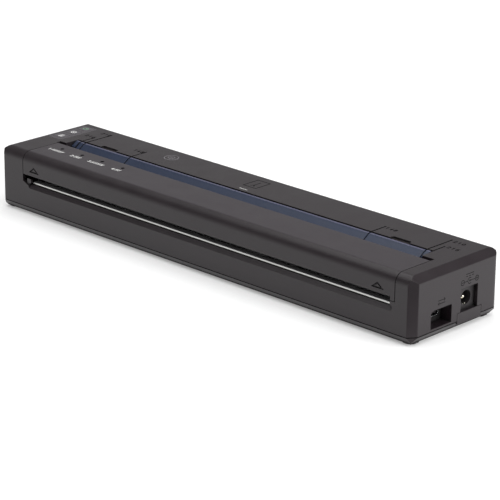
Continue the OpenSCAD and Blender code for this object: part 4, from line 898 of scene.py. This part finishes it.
def light_surroundings(world):
    """White where it is seen straight or through clear pieces. In reflections it is white at the
    floor's edge and dims to the studio's dark upper walls, which draw the bevels as dark lines."""
    world.use_nodes = True
    tree = world.node_tree
    back = tree.nodes["Background"]
    back.inputs["Color"].default_value = (1, 1, 1, 1)
    rays = [add(tree, "LightPath", out=ray) for ray in ("Is Camera Ray", "Is Transmission Ray")]
    bare = add(tree, "Math", rays, operation="MAXIMUM")
    rise = add(tree, "SeparateXYZ", [add(tree, "TexCoord", out="Generated")], "Z")
    walls = add(tree, "MapRange", (rise, *WALLS))
    mirrored = add(tree, "LightPath", out="Is Glossy Ray")
    lit = add(tree, "Mix", {0: mirrored, 2: DIFFUSE, 3: walls}, data_type="FLOAT")
    drive(back, {"Strength": add(tree, "Mix", {0: bare, 2: lit, 3: 1.0}, data_type="FLOAT")})


class PRINTER_OT_stage(bpy.types.Operator):
    """Pale floor, soft lamps, white surroundings and the camera"""
    bl_idname = "printer.stage"
    bl_label = "Stage"

    def execute(self, context):
        s, scene = context.scene.printer_stage, context.scene
        r = FLOOR_REACH
        corners = (-r, -r, 0), (r, -r, 0), (r, r, 0), (-r, r, 0)
        floor_mesh = bpy.data.meshes.new("studio_floor")
        floor_mesh.from_pydata(corners, [], [(0, 1, 2, 3)])
        floor_mesh.materials.append(pale_paper())
        floor = bpy.data.objects.new("studio_floor", floor_mesh)
        scene.collection.objects.link(floor)

        scene.world = bpy.data.worlds.new("white_surroundings")
        light_surroundings(scene.world)

        for name, place, size, power in LAMPS:
            lamp = bpy.data.lights.new(name, "AREA")
            lamp.shape = "SQUARE"
            lamp.size = size
            lamp.energy = power
            holder = bpy.data.objects.new(name, lamp)
            holder.visible_camera = False
            scene.collection.objects.link(holder)
            aim = -np.array(place) / np.linalg.norm(place)
            overhead = abs(aim[2]) > 0.99
            side = np.array([1.0, 0, 0]) if overhead else np.cross(aim, (0, 0, 1))
            stand(holder, side / np.linalg.norm(side), aim, place)

        az, el = s.azimuth, s.elevation
        ahead = np.array([-math.sin(az) * math.cos(el), math.cos(az) * math.cos(el), -math.sin(el)])
        level = np.array([math.cos(az), math.sin(az), 0])
        above = np.cross(level, ahead)
        lens = bpy.data.cameras.new("photo_view")
        lens.sensor_width = SENSOR
        lens.lens = s.lens
        lens.clip_start, lens.clip_end = CLIP
        camera = bpy.data.objects.new("photo_view", lens)
        scene.collection.objects.link(camera)
        stand(camera, level * math.cos(s.roll) + above * math.sin(s.roll), ahead, s.place)
        scene.camera = camera
        scene.view_settings.view_transform = "Standard"
        return {"FINISHED"}


PIECES = (PRINTER_OT_mouldings, PRINTER_OT_gears, PRINTER_OT_rubber, PRINTER_OT_metal,
          PRINTER_OT_electronics, PRINTER_OT_inlet_contacts, PRINTER_OT_battery,
          PRINTER_OT_status_marks, PRINTER_OT_key_legends, PRINTER_OT_case_marks,
          PRINTER_OT_head_details, PRINTER_OT_stage)
SETTINGS = {"printer_colours": PrinterColours, "printer_marks": PrinterMarks,
            "printer_stage": PrinterStage}


class PRINTER_PT_pieces(bpy.types.Panel):
    """Lists the pieces and their settings"""
    bl_idname = "PRINTER_PT_pieces"
    bl_label = "Portable printer"
    bl_space_type = "VIEW_3D"
    bl_region_type = "UI"
    bl_category = "Printer"

    def draw(self, context):
        for name, group in SETTINGS.items():
            box = self.layout.box()
            for setting in group.__annotations__:
                box.prop(getattr(context.scene, name), setting)
        for piece in PIECES:
            self.layout.operator(piece.bl_idname)


def register():
    """Registers the settings, operators and panel."""
    for item in (*SETTINGS.values(), *PIECES, PRINTER_PT_pieces):
        bpy.utils.register_class(item)
    for name, group in SETTINGS.items():
        setattr(bpy.types.Scene, name, bpy.props.PointerProperty(type=group))


def unregister():
    """Takes them out again, last first."""
    for name in SETTINGS:
        delattr(bpy.types.Scene, name)
    for item in reversed((*SETTINGS.values(), *PIECES, PRINTER_PT_pieces)):
        bpy.utils.unregister_class(item)


def main():
    """Makes every piece in order."""
    register()
    for piece in PIECES:
        group, name = piece.bl_idname.split(".")
        getattr(getattr(bpy.ops, group), name)()


if __name__ == "__main__":
    main()
